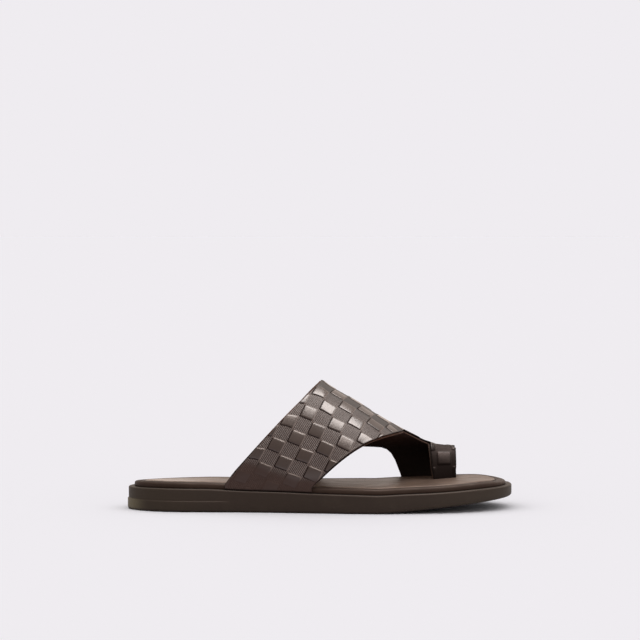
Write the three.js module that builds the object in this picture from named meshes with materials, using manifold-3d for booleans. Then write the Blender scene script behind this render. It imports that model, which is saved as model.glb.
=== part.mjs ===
// A slide sandal with a toe loop, for the right foot, in millimetres.
// +X points to the toe, +Y to the big toe's side, +Z up. The origin is on the floor, under the box's middle.
import * as THREE from 'three';
import { mergeVertices } from 'three/addons/utils/BufferGeometryUtils.js';
import Module from 'manifold-3d';

const wasm = await Module();
wasm.setup();

// Driving sizes of the last
const LENGTH = 290;
const BALL_WIDTH = 104;
const HEEL_HEIGHT = 17.3;
const INSTEP_HEIGHT = 96;
const TOE_SPRING = 9.7;

// Clearances between pieces that touch in the real sandal
const SEAT_GAP = 0.3;
const SLOT_CLEARANCE = 0.5;

// Outsole
const HEEL_STEP_HEIGHT = 8;
const HEEL_STEP_PROUD = 0.7;
const HEEL_STEP_END = { from: 0.225, to: 0.275 };
const HEEL_STEP_MOST = 0.5;
const SOLE_EDGE_ROUND = 1.8;
const RIM_ROUND = 0.9;

// A rounded edge is three rings, and its middle ring stands this share of the radius in from both faces
const ROUND_MIDDLE = 0.3;
const SPRING_START = 0.645;
const SPRING_POWER = 1.08;
const HEEL_ROUND = 0.17;
const TOE_ROUND = 0.2;
const HEEL_FULLNESS = 2.05;
const TOE_FULLNESS = 2.4;

// Tread of cross grooves, one field under the heel and one under the forefoot
const GROOVE_WIDTH = 3;
const GROOVE_DEPTH = 1.6;
const GROOVE_PITCH = 10;
const TREAD_BORDER = 9;
const TREAD_FIELDS = [
  { from: 0.06, to: 0.235 },
  { from: 0.53, to: 0.93 },
];

// Footbed and the sock panel in its recess
const FOOTBED_REVEAL = 4.5;
const FOOTBED_THICKNESS = 4;
const FOOTBED_EDGE_ROUND = 1.8;
const FOOTBED_RIM = 7.5;
const RECESS_DEPTH = 1.2;
const INSOLE_THICKNESS = 1.3;
const INSOLE_GROOVE = 0.6;
const INSOLE_EDGE_ROUND = 0.5;

// Upper
const WALL = 2;
const WALL_FIT = 0.4;
const LATERAL_FULLNESS = 2.05;
const MEDIAL_FULLNESS = 2.25;
const LEG_FULLNESS = 2.1;
const FRONT_NARROWING = 17;
const ARCH_RISE = 26;
const ARCH_REAR_POWER = 2.5;
const ARCH_FRONT_POWER = 6;
const LEG_WIDTH = 18;
const LEG_TURN = 19;

// Where the upper's edges stand, as shares of the length from the heel
const BAND = {
  peak: 0.5035, ridgeEnd: 0.718,
  lateralRear: 0.2545, lateralFront: 0.4765,
  medialRear: 0.292, medialFront: 0.4865,
};
const LOOP = { crownRear: 0.7905, crownFront: 0.8565, medialRear: 0.7165, medialFront: 0.863 };
const LEG_FOOT = { along: 0.799, across: 0.1385 };

// Where the rows cross the ridge on their way to the arch's two corners
const ARCH_ROWS = { rear: 0.615, front: 0.755 };

// Plan of the outsole: middle line and half width, as shares of the ball width
const PLAN = [
  { along: 0.00, middle: -0.040, half: 0.304 },
  { along: 0.16, middle: -0.043, half: 0.307 },
  { along: 0.30, middle: -0.036, half: 0.334 },
  { along: 0.40, middle: -0.037, half: 0.366 },
  { along: 0.50, middle: -0.031, half: 0.412 },
  { along: 0.60, middle: -0.015, half: 0.468 },
  { along: 0.68, middle: 0.002, half: 0.493 },
  { along: 0.75, middle: 0.020, half: 0.494 },
  { along: 0.84, middle: 0.034, half: 0.474 },
  { along: 0.92, middle: 0.043, half: 0.440 },
  { along: 1.00, middle: 0.050, half: 0.410 },
];

// Thickness of the outsole, as shares of the heel height
const SOLE_PROFILE = [
  { along: 0.00, thickness: 0.98 },
  { along: 0.10, thickness: 1.00 },
  { along: 0.20, thickness: 0.99 },
  { along: 0.30, thickness: 0.92 },
  { along: 0.40, thickness: 0.885 },
  { along: 0.50, thickness: 0.83 },
  { along: 0.62, thickness: 0.79 },
  { along: 0.70, thickness: 0.745 },
  { along: 0.80, thickness: 0.655 },
  { along: 0.90, thickness: 0.59 },
  { along: 1.00, thickness: 0.48 },
];

// Ridge of the upper: height as a share of the instep height, place across as a share of the ball width
const RIDGE = [
  { along: 0.250, height: 1.125, across: 0.020 },
  { along: 0.503, height: 1.000, across: 0.058 },
  { along: 0.522, height: 0.960, across: 0.061 },
  { along: 0.559, height: 0.896, across: 0.066 },
  { along: 0.612, height: 0.800, across: 0.080 },
  { along: 0.658, height: 0.708, across: 0.096 },
  { along: 0.710, height: 0.617, across: 0.122 },
  { along: 0.741, height: 0.568, across: 0.155 },
  { along: 0.776, height: 0.513, across: 0.205 },
  { along: 0.803, height: 0.481, across: 0.245 },
  { along: 0.857, height: 0.460, across: 0.290 },
];

// How finely the curved pieces are divided
const PLAN_STEPS = 52;
const ROW_SPACING = 4;
const SIDE_COLUMNS = 13;
const LEG_COLUMNS = 8;

const clamp01 = (value) => Math.min(1, Math.max(0, value));
const mix = (from, to, share) => from + (to - from) * share;
const fade = (from, to, value) => clamp01((value - from) / (to - from));

// A smooth curve through a table's column that never swings past its values
function follow(table, column, along) {
  const last = table.length - 2;
  let row = table.findIndex((entry) => entry.along > along) - 1;
  if (row < 0) row = along < table[0].along ? 0 : last;
  const slope = (index) => {
    const here = table[index];
    const next = table[index + 1];
    return (next[column] - here[column]) / (next.along - here.along);
  };
  const tangent = (index) => {
    if (index === 0) return slope(0);
    if (index === last + 1) return slope(last);
    const before = slope(index - 1);
    const after = slope(index);
    return before * after <= 0 ? 0 : (2 * before * after) / (before + after);
  };
  const start = table[row];
  const end = table[row + 1];
  const span = end.along - start.along;
  const t = clamp01((along - start.along) / span);
  const rise = t * t * (3 - 2 * t);
  const value = mix(start[column], end[column], rise)
    + span * t * (1 - t) * ((1 - t) * tangent(row) - t * tangent(row + 1));
  const beyond = Math.min(0, along - start.along) + Math.max(0, along - end.along);
  return value + beyond * tangent(beyond < 0 ? row : row + 1);
}

// Outline and heights of the sole

const heelEnd = -LENGTH / 2 + HEEL_STEP_PROUD;
const toeEnd = LENGTH / 2;
const placeAt = (along) => mix(heelEnd, toeEnd, along);
const alongAt = (x) => (x - heelEnd) / (toeEnd - heelEnd);

function endRounding(along) {
  const heel = fade(HEEL_ROUND, 0, along);
  const toe = fade(1 - TOE_ROUND, 1, along);
  const heelShare = (1 - heel ** HEEL_FULLNESS) ** (1 / HEEL_FULLNESS);
  const toeShare = (1 - toe ** TOE_FULLNESS) ** (1 / TOE_FULLNESS);
  return heelShare * toeShare;
}

function planEdge(along, side) {
  const half = follow(PLAN, 'half', along) * endRounding(along);
  return (follow(PLAN, 'middle', along) + side * half) * BALL_WIDTH;
}

const stationAlong = Array.from(
  { length: PLAN_STEPS + 1 },
  (_, step) => (1 - Math.cos((Math.PI * step) / PLAN_STEPS)) / 2,
);
const farthest = Math.max(...stationAlong.map((along) => planEdge(along, 1)));
const nearest = Math.min(...stationAlong.map((along) => planEdge(along, -1)));
const acrossShift = -(farthest + nearest) / 2;
const edgeAcross = (along, side) => planEdge(along, side) + acrossShift;

function floorLift(along) {
  return TOE_SPRING * fade(SPRING_START, 1, along) ** SPRING_POWER;
}

function soleTop(along) {
  return floorLift(along) + follow(SOLE_PROFILE, 'thickness', along) * HEEL_HEIGHT;
}

const footbedBottom = (along) => soleTop(along) + SEAT_GAP;
const footbedTop = (along) => footbedBottom(along) + FOOTBED_THICKNESS;

// The outsole's outline as one loop: heel tip, lateral side, toe tip, medial side
const outline = [
  { along: 0, side: -1 },
  ...stationAlong.slice(1, -1).map((along) => ({ along, side: -1 })),
  { along: 1, side: -1 },
  ...stationAlong.slice(1, -1).reverse().map((along) => ({ along, side: 1 })),
].map(({ along, side }) => ({ along, point: new THREE.Vector2(placeAt(along), edgeAcross(along, side)) }));

outline.forEach((entry, index) => {
  const before = outline[(index + outline.length - 1) % outline.length].point;
  const after = outline[(index + 1) % outline.length].point;
  const direction = after.clone().sub(before).normalize();
  entry.inward = new THREE.Vector2(-direction.y, direction.x);
});

// A body made of rings round the outline, from its bottom face to its top face
function ringBody(rings) {
  const loop = outline.length;
  const positions = [];
  rings.forEach(({ inset, height }) => {
    outline.forEach(({ along, point, inward }) => {
      const distance = typeof inset === 'function' ? inset(along) : inset;
      const place = point.clone().addScaledVector(inward, distance);
      positions.push(place.x, place.y, height(alongAt(place.x)));
    });
  });
  const faces = [];
  for (let ring = 0; ring < rings.length - 1; ring += 1) {
    for (let step = 0; step < loop; step += 1) {
      const a = ring * loop + step;
      const b = ring * loop + ((step + 1) % loop);
      faces.push(a, b, b + loop, a, b + loop, a + loop);
    }
  }
  const top = (rings.length - 1) * loop;
  for (let step = 0; step < PLAN_STEPS; step += 1) {
    const lateral = step;
    const nextLateral = step + 1;
    const medial = (loop - step) % loop;
    const nextMedial = loop - step - 1;
    if (nextLateral !== nextMedial) {
      faces.push(top + medial, top + nextLateral, top + nextMedial);
      faces.push(medial, nextMedial, nextLateral);
    }
    if (lateral !== medial) {
      faces.push(top + medial, top + lateral, top + nextLateral);
      faces.push(medial, nextLateral, lateral);
    }
  }
  return geometryFrom(positions, faces);
}

function geometryFrom(positions, faces) {
  const geometry = new THREE.BufferGeometry();
  geometry.setAttribute('position', new THREE.Float32BufferAttribute(positions, 3));
  geometry.setIndex(faces);
  return geometry;
}

// Cutting, with solids of the manifold library

function toSolid(geometry) {
  const bare = geometry.clone();
  bare.deleteAttribute('normal');
  bare.deleteAttribute('uv');
  const merged = mergeVertices(bare);
  return new wasm.Manifold(new wasm.Mesh({
    numProp: 3,
    vertProperties: new Float32Array(merged.attributes.position.array),
    triVerts: new Uint32Array(merged.index.array),
  }));
}

function fromSolid(solid) {
  const mesh = solid.getMesh();
  return geometryFrom(Array.from(mesh.vertProperties), Array.from(mesh.triVerts));
}

function cut(geometry, tools) {
  let solid = toSolid(geometry);
  tools.forEach((tool) => {
    solid = solid.subtract(toSolid(tool));
  });
  return fromSolid(solid);
}

// Outsole: a moulded sidewall with a proud step round the heel, and cross grooves underneath

function heelStep(along) {
  return -HEEL_STEP_PROUD * (1 - fade(HEEL_STEP_END.from, HEEL_STEP_END.to, along));
}

// The step's top runs level round the heel and keeps below the rim where the sole gets thin
function stepHeight(along) {
  const wall = soleTop(along) - floorLift(along);
  return Math.min(HEEL_STEP_HEIGHT, wall * HEEL_STEP_MOST);
}

function treadGrooves() {
  const grooves = [];
  TREAD_FIELDS.forEach(({ from, to }) => {
    const room = placeAt(to) - placeAt(from);
    const count = Math.floor(room / GROOVE_PITCH) + 1;
    const start = placeAt(from) + (room - (count - 1) * GROOVE_PITCH) / 2;
    for (let index = 0; index < count; index += 1) {
      const x = start + index * GROOVE_PITCH;
      const along = alongAt(x);
      const lateral = edgeAcross(along, -1) + TREAD_BORDER;
      const medial = edgeAcross(along, 1) - TREAD_BORDER;
      const groove = new THREE.BoxGeometry(GROOVE_WIDTH, medial - lateral, 2 * GROOVE_DEPTH);
      const slope = floorLift(alongAt(x + 1)) - floorLift(alongAt(x));
      groove.rotateY(-Math.atan(slope));
      groove.translate(x, (lateral + medial) / 2, floorLift(along));
      grooves.push(groove);
    }
  });
  return grooves;
}

function outsoleGeometry() {
  const bottomMiddle = SOLE_EDGE_ROUND * ROUND_MIDDLE;
  const rimMiddle = RIM_ROUND * ROUND_MIDDLE;
  const body = ringBody([
    { inset: (along) => SOLE_EDGE_ROUND + heelStep(along), height: floorLift },
    { inset: (along) => bottomMiddle + heelStep(along), height: (along) => floorLift(along) + bottomMiddle },
    { inset: heelStep, height: (along) => floorLift(along) + SOLE_EDGE_ROUND },
    { inset: heelStep, height: (along) => floorLift(along) + stepHeight(along) },
    { inset: 0, height: (along) => floorLift(along) + stepHeight(along) + HEEL_STEP_PROUD },
    { inset: 0, height: (along) => soleTop(along) - RIM_ROUND },
    { inset: rimMiddle, height: (along) => soleTop(along) - rimMiddle },
    { inset: RIM_ROUND, height: soleTop },
  ]);
  return cut(body, treadGrooves());
}

// Where the loop's near leg goes down between the toes

const legTurn = THREE.MathUtils.degToRad(LEG_TURN);
const legDirection = new THREE.Vector2(Math.cos(legTurn), Math.sin(legTurn));
const legInward = new THREE.Vector2(-legDirection.y, legDirection.x);
const legStart = new THREE.Vector2(placeAt(LEG_FOOT.along), LEG_FOOT.across * BALL_WIDTH + acrossShift);

function legSlot() {
  const middle = legStart.clone()
    .addScaledVector(legDirection, LEG_WIDTH / 2)
    .addScaledVector(legInward, WALL / 2);
  const slot = new THREE.BoxGeometry(
    LEG_WIDTH + 2 * SLOT_CLEARANCE,
    WALL + 2 * SLOT_CLEARANCE,
    INSTEP_HEIGHT,
  );
  slot.rotateZ(legTurn);
  slot.translate(middle.x, middle.y, INSTEP_HEIGHT / 2);
  return slot;
}

// Footbed: a wrapped board with a rounded rim and a shallow recess
function footbedGeometry() {
  const round = FOOTBED_EDGE_ROUND;
  const middle = round * ROUND_MIDDLE;
  const rimInside = FOOTBED_REVEAL + FOOTBED_RIM;
  const rimChamfer = RECESS_DEPTH / 2;
  const recessFloor = (along) => footbedTop(along) - RECESS_DEPTH;
  const body = ringBody([
    { inset: FOOTBED_REVEAL + middle, height: footbedBottom },
    { inset: FOOTBED_REVEAL, height: (along) => footbedBottom(along) + middle },
    { inset: FOOTBED_REVEAL, height: (along) => footbedTop(along) - round },
    { inset: FOOTBED_REVEAL + middle, height: (along) => footbedTop(along) - middle },
    { inset: FOOTBED_REVEAL + round, height: footbedTop },
    { inset: rimInside - rimChamfer, height: footbedTop },
    { inset: rimInside, height: (along) => footbedTop(along) - rimChamfer },
    { inset: rimInside, height: recessFloor },
  ]);
  return cut(body, [legSlot()]);
}

// Insole: the sock panel, a groove's width inside the recess
function insoleGeometry() {
  const edge = FOOTBED_REVEAL + FOOTBED_RIM + INSOLE_GROOVE;
  const bottom = (along) => footbedTop(along) - RECESS_DEPTH + SEAT_GAP;
  const body = ringBody([
    { inset: edge, height: bottom },
    { inset: edge, height: (along) => bottom(along) + INSOLE_THICKNESS - INSOLE_EDGE_ROUND },
    { inset: edge + INSOLE_EDGE_ROUND, height: (along) => bottom(along) + INSOLE_THICKNESS },
  ]);
  return cut(body, [legSlot()]);
}

// Upper: the arch of each section runs from the ridge down to a foot or a free edge

const wallInset = FOOTBED_REVEAL - WALL_FIT - WALL;
const ridgeHeight = (along) => follow(RIDGE, 'height', along) * INSTEP_HEIGHT;
const ridgeAcross = (along) => follow(RIDGE, 'across', along) * BALL_WIDTH + acrossShift;

function lateralBase(along) {
  const forward = fade(BAND.lateralFront, BAND.ridgeEnd, along);
  return edgeAcross(along, -1) + wallInset + FRONT_NARROWING * forward * forward;
}

const medialBase = (along) => edgeAcross(along, 1) - wallInset;

// A point of the section at one place along the foot, at a share of its height above the footbed
function archPoint(along, share, base, fullness) {
  const outward = (1 - share ** fullness) ** (1 / fullness);
  const bottom = footbedTop(along);
  return new THREE.Vector3(
    placeAt(along),
    mix(ridgeAcross(along), base(along), outward),
    mix(bottom, ridgeHeight(along), share),
  );
}

// Height shares from the ridge down to an edge, closer together near the ridge
function heightShares(columns, endShare, fullness) {
  const endTurn = Math.asin(endShare ** (fullness / 2));
  return Array.from({ length: columns + 1 }, (_, column) => {
    const turn = mix(Math.PI / 2, endTurn, column / columns);
    return Math.sin(turn) ** (2 / fullness);
  });
}

// One row from the ridge to an edge, with a riser beside the footbed where it has a foot
function sideRow(crown, end, base, fullness) {
  const shares = heightShares(SIDE_COLUMNS, end.share, fullness);
  const points = shares.map((share) => {
    const sideways = (1 - share) / (1 - end.share);
    return archPoint(mix(crown, end.along, sideways), share, base, fullness);
  });
  const foot = end.footed ? footPoint(points.at(-1)) : null;
  return { points, foot };
}

function footPoint(point) {
  return new THREE.Vector3(point.x, point.y, footbedBottom(alongAt(point.x)));
}

function lateralRow(crown) {
  const across = fade(BAND.peak, BAND.ridgeEnd, crown);
  const along = mix(BAND.lateralRear, BAND.lateralFront, across);
  return sideRow(crown, { along, share: 0, footed: true }, lateralBase, LATERAL_FULLNESS);
}

// The free edge between the band's inner foot and the loop's inner foot is an arch over the ball of the foot
function archEnd(turn) {
  const middle = (BAND.medialFront + LOOP.medialRear) / 2;
  const half = (LOOP.medialRear - BAND.medialFront) / 2;
  const offset = -Math.cos(Math.PI * turn);
  const power = offset < 0 ? ARCH_REAR_POWER : ARCH_FRONT_POWER;
  const along = middle + half * offset;
  const rise = ARCH_RISE * (1 - Math.abs(offset) ** power);
  const share = rise / (ridgeHeight(along) - footbedTop(along));
  return { along, share, footed: false };
}

function medialEnd(crown) {
  if (crown <= ARCH_ROWS.rear) {
    const along = mix(BAND.medialRear, BAND.medialFront, fade(BAND.peak, ARCH_ROWS.rear, crown));
    return { along, share: 0, footed: true };
  }
  if (crown >= ARCH_ROWS.front) {
    const along = mix(LOOP.medialRear, LOOP.medialFront, fade(ARCH_ROWS.front, LOOP.crownFront, crown));
    return { along, share: 0, footed: true };
  }
  return archEnd(fade(ARCH_ROWS.rear, ARCH_ROWS.front, crown));
}

const medialRow = (crown) => sideRow(crown, medialEnd(crown), medialBase, MEDIAL_FULLNESS);

// The loop's near leg: from the ridge down to its straight foot in the slot
function legRow(crown) {
  const across = fade(LOOP.crownRear, LOOP.crownFront, crown);
  const foot = legStart.clone().addScaledVector(legDirection, LEG_WIDTH * across);
  const bottom = footbedTop(alongAt(foot.x));
  const points = heightShares(LEG_COLUMNS, 0, LEG_FULLNESS).map((share) => {
    const outward = (1 - share ** LEG_FULLNESS) ** (1 / LEG_FULLNESS);
    return new THREE.Vector3(
      mix(placeAt(crown), foot.x, 1 - share),
      mix(ridgeAcross(crown), foot.y, outward),
      mix(bottom, ridgeHeight(crown), share),
    );
  });
  return { points, foot: footPoint(points.at(-1)) };
}

// Places along the ridge where rows start, with one at each corner of the upper
function ridgeStations() {
  const corners = [BAND.peak, ARCH_ROWS.rear, BAND.ridgeEnd, ARCH_ROWS.front, LOOP.crownRear, LOOP.crownFront];
  const stations = [corners[0]];
  corners.slice(1).forEach((corner, index) => {
    const steps = Math.max(1, Math.round(((corner - corners[index]) * LENGTH) / ROW_SPACING));
    for (let step = 1; step <= steps; step += 1) stations.push(mix(corners[index], corner, step / steps));
  });
  return stations;
}

// Sheet of quads that share their corners where the strips of rows meet on the ridge
function upperSheet() {
  const points = [];
  const quads = [];
  const crowns = new Map();
  const place = (point) => points.push(point) - 1;
  const addStrip = (stations, row, turned) => {
    const rows = stations.map((crown) => {
      const { points: path, foot } = row(crown);
      if (!crowns.has(crown)) crowns.set(crown, place(path[0]));
      const indices = [crowns.get(crown), ...path.slice(1).map(place)];
      return { indices, foot: foot ? place(foot) : null };
    });
    for (let index = 0; index < rows.length - 1; index += 1) {
      const here = [...rows[index].indices];
      const next = [...rows[index + 1].indices];
      if (rows[index].foot !== null && rows[index + 1].foot !== null) {
        here.push(rows[index].foot);
        next.push(rows[index + 1].foot);
      }
      for (let column = 0; column < here.length - 1; column += 1) {
        const quad = [here[column], next[column], next[column + 1], here[column + 1]];
        quads.push(turned ? quad.reverse() : quad);
      }
    }
  };
  const stations = ridgeStations();
  addStrip(stations.filter((crown) => crown <= BAND.ridgeEnd), lateralRow, true);
  addStrip(stations, medialRow, false);
  addStrip(stations.filter((crown) => crown >= LOOP.crownRear), legRow, true);
  return { points, quads };
}

// Gives a sheet its wall: a copy of it inwards, closed along every free edge
function thicken({ points, quads }, wall) {
  const normals = points.map(() => new THREE.Vector3());
  const triangles = quads.flatMap(([a, b, c, d]) => [[a, b, c], [a, c, d]]);
  triangles.forEach((triangle) => {
    const [a, b, c] = triangle.map((index) => points[index]);
    const facing = b.clone().sub(a).cross(c.clone().sub(a));
    triangle.forEach((index) => normals[index].add(facing));
  });
  const inner = points.map((point, index) => point.clone().addScaledVector(normals[index].normalize(), -wall));
  const count = points.length;
  const faces = [];
  const edges = new Set();
  triangles.forEach(([a, b, c]) => {
    faces.push(a, b, c, count + a, count + c, count + b);
    [[a, b], [b, c], [c, a]].forEach(([from, to]) => edges.add(`${from},${to}`));
  });
  edges.forEach((edge) => {
    const [from, to] = edge.split(',').map(Number);
    if (edges.has(`${to},${from}`)) return;
    faces.push(from, count + from, to, to, count + from, count + to);
  });
  return geometryFrom([...points, ...inner].flatMap((point) => point.toArray()), faces);
}

// The finished parts

function piece(name, geometry, color, roughness) {
  geometry.computeVertexNormals();
  const material = new THREE.MeshStandardMaterial({ color, roughness, metalness: 0 });
  const mesh = new THREE.Mesh(geometry, material);
  mesh.name = name;
  return mesh;
}

const sandal = new THREE.Group();
sandal.add(piece('outsole', outsoleGeometry(), 0x352c27, 0.65));
sandal.add(piece('footbed', footbedGeometry(), 0x6f5f57, 0.6));
sandal.add(piece('insole', insoleGeometry(), 0x85756c, 0.7));
sandal.add(piece('upper', thicken(upperSheet(), WALL), 0x4a3f3c, 0.45));

export default sandal;
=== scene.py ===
"""Looks of the slide sandal: an embossed leather band with a toe loop, on a footbed and a rubber outsole."""

import math

import bpy
import numpy as np
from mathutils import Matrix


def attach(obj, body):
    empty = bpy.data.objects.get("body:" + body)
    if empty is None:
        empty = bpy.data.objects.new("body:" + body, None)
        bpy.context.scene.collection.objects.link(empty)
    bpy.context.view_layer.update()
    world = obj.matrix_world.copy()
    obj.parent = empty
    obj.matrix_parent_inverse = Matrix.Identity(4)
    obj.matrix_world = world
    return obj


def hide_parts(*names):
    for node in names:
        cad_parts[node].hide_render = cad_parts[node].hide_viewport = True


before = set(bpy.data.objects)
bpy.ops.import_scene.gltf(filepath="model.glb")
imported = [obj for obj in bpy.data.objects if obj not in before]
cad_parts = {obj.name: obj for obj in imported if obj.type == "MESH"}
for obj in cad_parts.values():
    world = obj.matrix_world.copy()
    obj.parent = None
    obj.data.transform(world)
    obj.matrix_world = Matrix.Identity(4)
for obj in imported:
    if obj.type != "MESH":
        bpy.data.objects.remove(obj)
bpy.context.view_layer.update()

MM = 0.001
TINY = 1e-12

# Driving sizes of the last, in millimetres, as in the solids
LENGTH = 290.0
BALL_WIDTH = 104.0
HEEL_HEIGHT = 17.3
INSTEP_HEIGHT = 96.0
TOE_SPRING = 9.7
SEAT_GAP = 0.3
SLOT_CLEARANCE = 0.5
SLOT_CUTTER_HEIGHT = 3.0 * HEEL_HEIGHT

# Outsole
HEEL_STEP_HEIGHT = 8.0
HEEL_STEP_PROUD = 0.7
HEEL_STEP_END = (0.225, 0.275)
SPRING_START = 0.645
SPRING_POWER = 1.08
HEEL_ROUND = 0.17
TOE_ROUND = 0.2
HEEL_FULLNESS = 2.05
TOE_FULLNESS = 2.4

# Footbed and insole
FOOTBED_REVEAL = 4.5
FOOTBED_THICKNESS = 4.0
FOOTBED_RIM = 7.5
RECESS_DEPTH = 1.2
INSOLE_THICKNESS = 1.3
INSOLE_GROOVE = 0.6

# Upper
WALL = 2.0
WALL_FIT = 0.4
LATERAL_FULLNESS = 2.05
MEDIAL_FULLNESS = 2.25
LEG_FULLNESS = 2.1
FRONT_NARROWING = 17.0
ARCH_RISE = 26.0
ARCH_REAR_POWER = 2.5
ARCH_FRONT_POWER = 6.0
LEG_WIDTH = 18.0
LEG_TURN_DEGREES = 19.0

# Where the upper's edges stand, as shares of the length from the heel
PEAK, RIDGE_END = 0.5035, 0.718
LATERAL_REAR, LATERAL_FRONT = 0.2545, 0.4765
MEDIAL_REAR, MEDIAL_FRONT = 0.292, 0.4865
LOOP_REAR, LOOP_FRONT = 0.7905, 0.8565
LOOP_FOOT_REAR, LOOP_FOOT_FRONT = 0.7165, 0.863
LEG_FOOT_ALONG, LEG_FOOT_ACROSS = 0.799, 0.1385
ARCH_ROW_REAR, ARCH_ROW_FRONT = 0.615, 0.755

# Plan of the outsole: middle line and half width, as shares of the ball width
PLAN = {
    "along": (0.0, 0.16, 0.30, 0.40, 0.50, 0.60, 0.68, 0.75, 0.84, 0.92, 1.0),
    "middle": (-0.040, -0.043, -0.036, -0.037, -0.031, -0.015, 0.002, 0.020, 0.034, 0.043, 0.050),
    "half": (0.304, 0.307, 0.334, 0.366, 0.412, 0.468, 0.493, 0.494, 0.474, 0.440, 0.410),
}

# Thickness of the outsole, as shares of the heel height
SOLE_PROFILE = {
    "along": (0.0, 0.10, 0.20, 0.30, 0.40, 0.50, 0.62, 0.70, 0.80, 0.90, 1.0),
    "thickness": (0.98, 1.00, 0.99, 0.92, 0.885, 0.83, 0.79, 0.745, 0.655, 0.59, 0.48),
}

# Ridge of the upper: height as a share of the instep height, place across as a share of the ball width
RIDGE = {
    "along": (0.250, 0.503, 0.522, 0.559, 0.612, 0.658, 0.710, 0.741, 0.776, 0.803, 0.857),
    "height": (1.125, 1.000, 0.960, 0.896, 0.800, 0.708, 0.617, 0.568, 0.513, 0.481, 0.460),
    "across": (0.020, 0.058, 0.061, 0.066, 0.080, 0.096, 0.122, 0.155, 0.205, 0.245, 0.290),
}

# Fineness of the visible surfaces
ROW_GAP = 0.0027
SIDE_COLUMNS = 174
INNER_COLUMNS = 129
LEG_COLUMNS = 42
FOOT_COLUMNS = 5
LINING_COARSER = 3
SOLE_STATIONS = 400
SOLE_COLUMNS = 36
SEAT_STATIONS = 240
SEAT_COLUMNS = 30
ROUND_STEPS = 5
EDGE_RINGS = 3

# Layers of the upper, as depths below its outer face
LEATHER_DEPTH = 0.8
LINING_START = 1.3
LOOP_CORNER = 2.6
LOOP_CORNER_REACH = 2.6
EDGE_MARK = 2.0
EDGE_BULGE = 0.22
LINING_BULGE = 0.12
LINING_BEYOND = 1.0

# Embossed check: a column or row is the sum of a start and shares of the flat place along, of the place
# down and of their product, with places in units of 100 mm
CHECK_UNIT = 100.0
CHECK = {
    "column": (-0.785, 8.488, 2.868, -1.701),
    "row": (-1.852, -4.760, 6.903, -0.826),
}
LOOP_CHECK = {
    "column": (-0.061, 8.503, 0.0, 0.0),
    "row": (-7.451, 0.0, 8.503, 0.0),
}
LOOP_CHECK_REACH = (50.0, 80.0)
PAD_HALF = 0.465
PAD_CORNER = 0.12
PAD_BEVEL = 0.07
PAD_HEIGHT = 0.38
PAD_LEAN = 0.28
PAD_PILLOW = 0.14
PAD_CHANCE = 2.0
# Each pad's painted shade along its lower left edge and painted highlight along its upper right edge rise
# between these shares of a cell from its middle
LIT_AND_SHADED_SIDE_START, LIT_AND_SHADED_SIDE_END = 0.36, 0.43
RIDGE_SMOOTH_ROW = -1.5
RIDGE_SMOOTH = (0.8, 1.9)
PLAIN_FOOT = (3.0, 9.0)
PLAIN_ROWS = (6.45, 7.15)
# Painted contact shade on the band's foot, rising from 2.3 to 3.7 mm below the footbed's top; it rides on
# the plain share as an added mark
CONTACT_SHADE_REACH = (-2.3, -3.7)
CONTACT_SHADE_MARK = 0.1
PLAIN_SHARE = 0.6

# Masks of the check: from a pad's edge in shares of a cell, and lines of hatch in a cell
PAD_EDGE_RISE = (-0.06, -0.02)
PAD_EDGE_FALL = (0.04, 0.08)
GROUND_START = (0.02, 0.06)
CUT_START = (1.15, 1.5)
HATCH_ACROSS, HATCH_DOWN = 5.4, -7.1
HATCH_WAVE = (-0.5, 0.7)

# Outsole details
TREAD_FIELDS = ((0.06, 0.235), (0.53, 0.93))
GROOVE_WIDTH = 3.0
GROOVE_DEPTH = 1.6
GROOVE_PITCH = 10.0
GROOVE_SLOPE = 0.5
TREAD_BORDER = 9.0
SOLE_EDGE_ROUND = 1.8
HEEL_STEP_MOST = 0.5
HEEL_STEP_LEDGE = 0.25
SHARP_EDGE = 0.35
RIM_ROUND = 0.9

# Section of the footbed's rim, from its foot on the outsole to the floor of the recess
RIM_SECTION = {
    "inset": (0.02, 0.01, 0.0, 0.0, 0.016, 0.067, 0.147, 0.253, 0.453, 0.693, 0.88, 0.973, 1.0, 1.0),
    "height": (0.0, 0.04, 0.175, 0.55, 0.725, 0.87, 0.97, 1.035, 1.09, 1.08, 0.99, 0.87, 0.76, 0.70),
}

TOE_SINK = 2.3
TOE_SINK_REACH = (0.905, 1.02)
TOE_SINK_LEFT = 0.1
TRODDEN = 1.7
TRODDEN_END = 0.32
TRODDEN_ACROSS = 24.0

# Section of the insole's edge, as shares of its groove and its thickness
INSOLE_SECTION = {
    "inset": (1.5, 1.0, 1.0, 1.25, 1.9, 3.0),
    "height": (0.0, 0.15, 0.65, 0.85, 0.97, 1.0),
}

# Soft hollows that wear has pressed into the insole: centre, reach along and across, depth
HOLLOWS = {
    "along": (0.13, 0.66, 0.88, 0.42),
    "across": (-0.03, -0.10, 0.20, -0.08),
    "long": (34.0, 38.0, 16.0, 46.0),
    "wide": (24.0, 30.0, 14.0, 18.0),
    "depth": (0.55, 0.45, 0.35, -0.35),
}
HOLLOW_FADE = 0.5

# Soft creases of the upper, placed on the flat leather: centre, half length, half width, turn, depth
CREASES = {
    "along": (-48.0, -10.0, 28.0, 52.0, 34.0, 74.0),
    "down": (104.0, 108.0, 88.0, 62.0, -12.0, 12.0),
    "long": (22.0, 18.0, 16.0, 12.0, 20.0, 18.0),
    "wide": (5.0, 4.5, 4.0, 3.5, 5.0, 5.0),
    "turn": (12.0, -6.0, -34.0, -30.0, 62.0, 48.0),
    "depth": (0.30, -0.20, 0.30, 0.25, 0.30, 0.25),
}


def mix(start, end, share):
    return start + (end - start) * share


def fade(start, end, value):
    return np.clip((value - start) / (end - start), 0.0, 1.0)


def metres(reach):
    return [value * MM for value in reach]


def smooth_fade(start, end, value):
    share = fade(start, end, value)
    return share * share * (3.0 - 2.0 * share)


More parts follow.
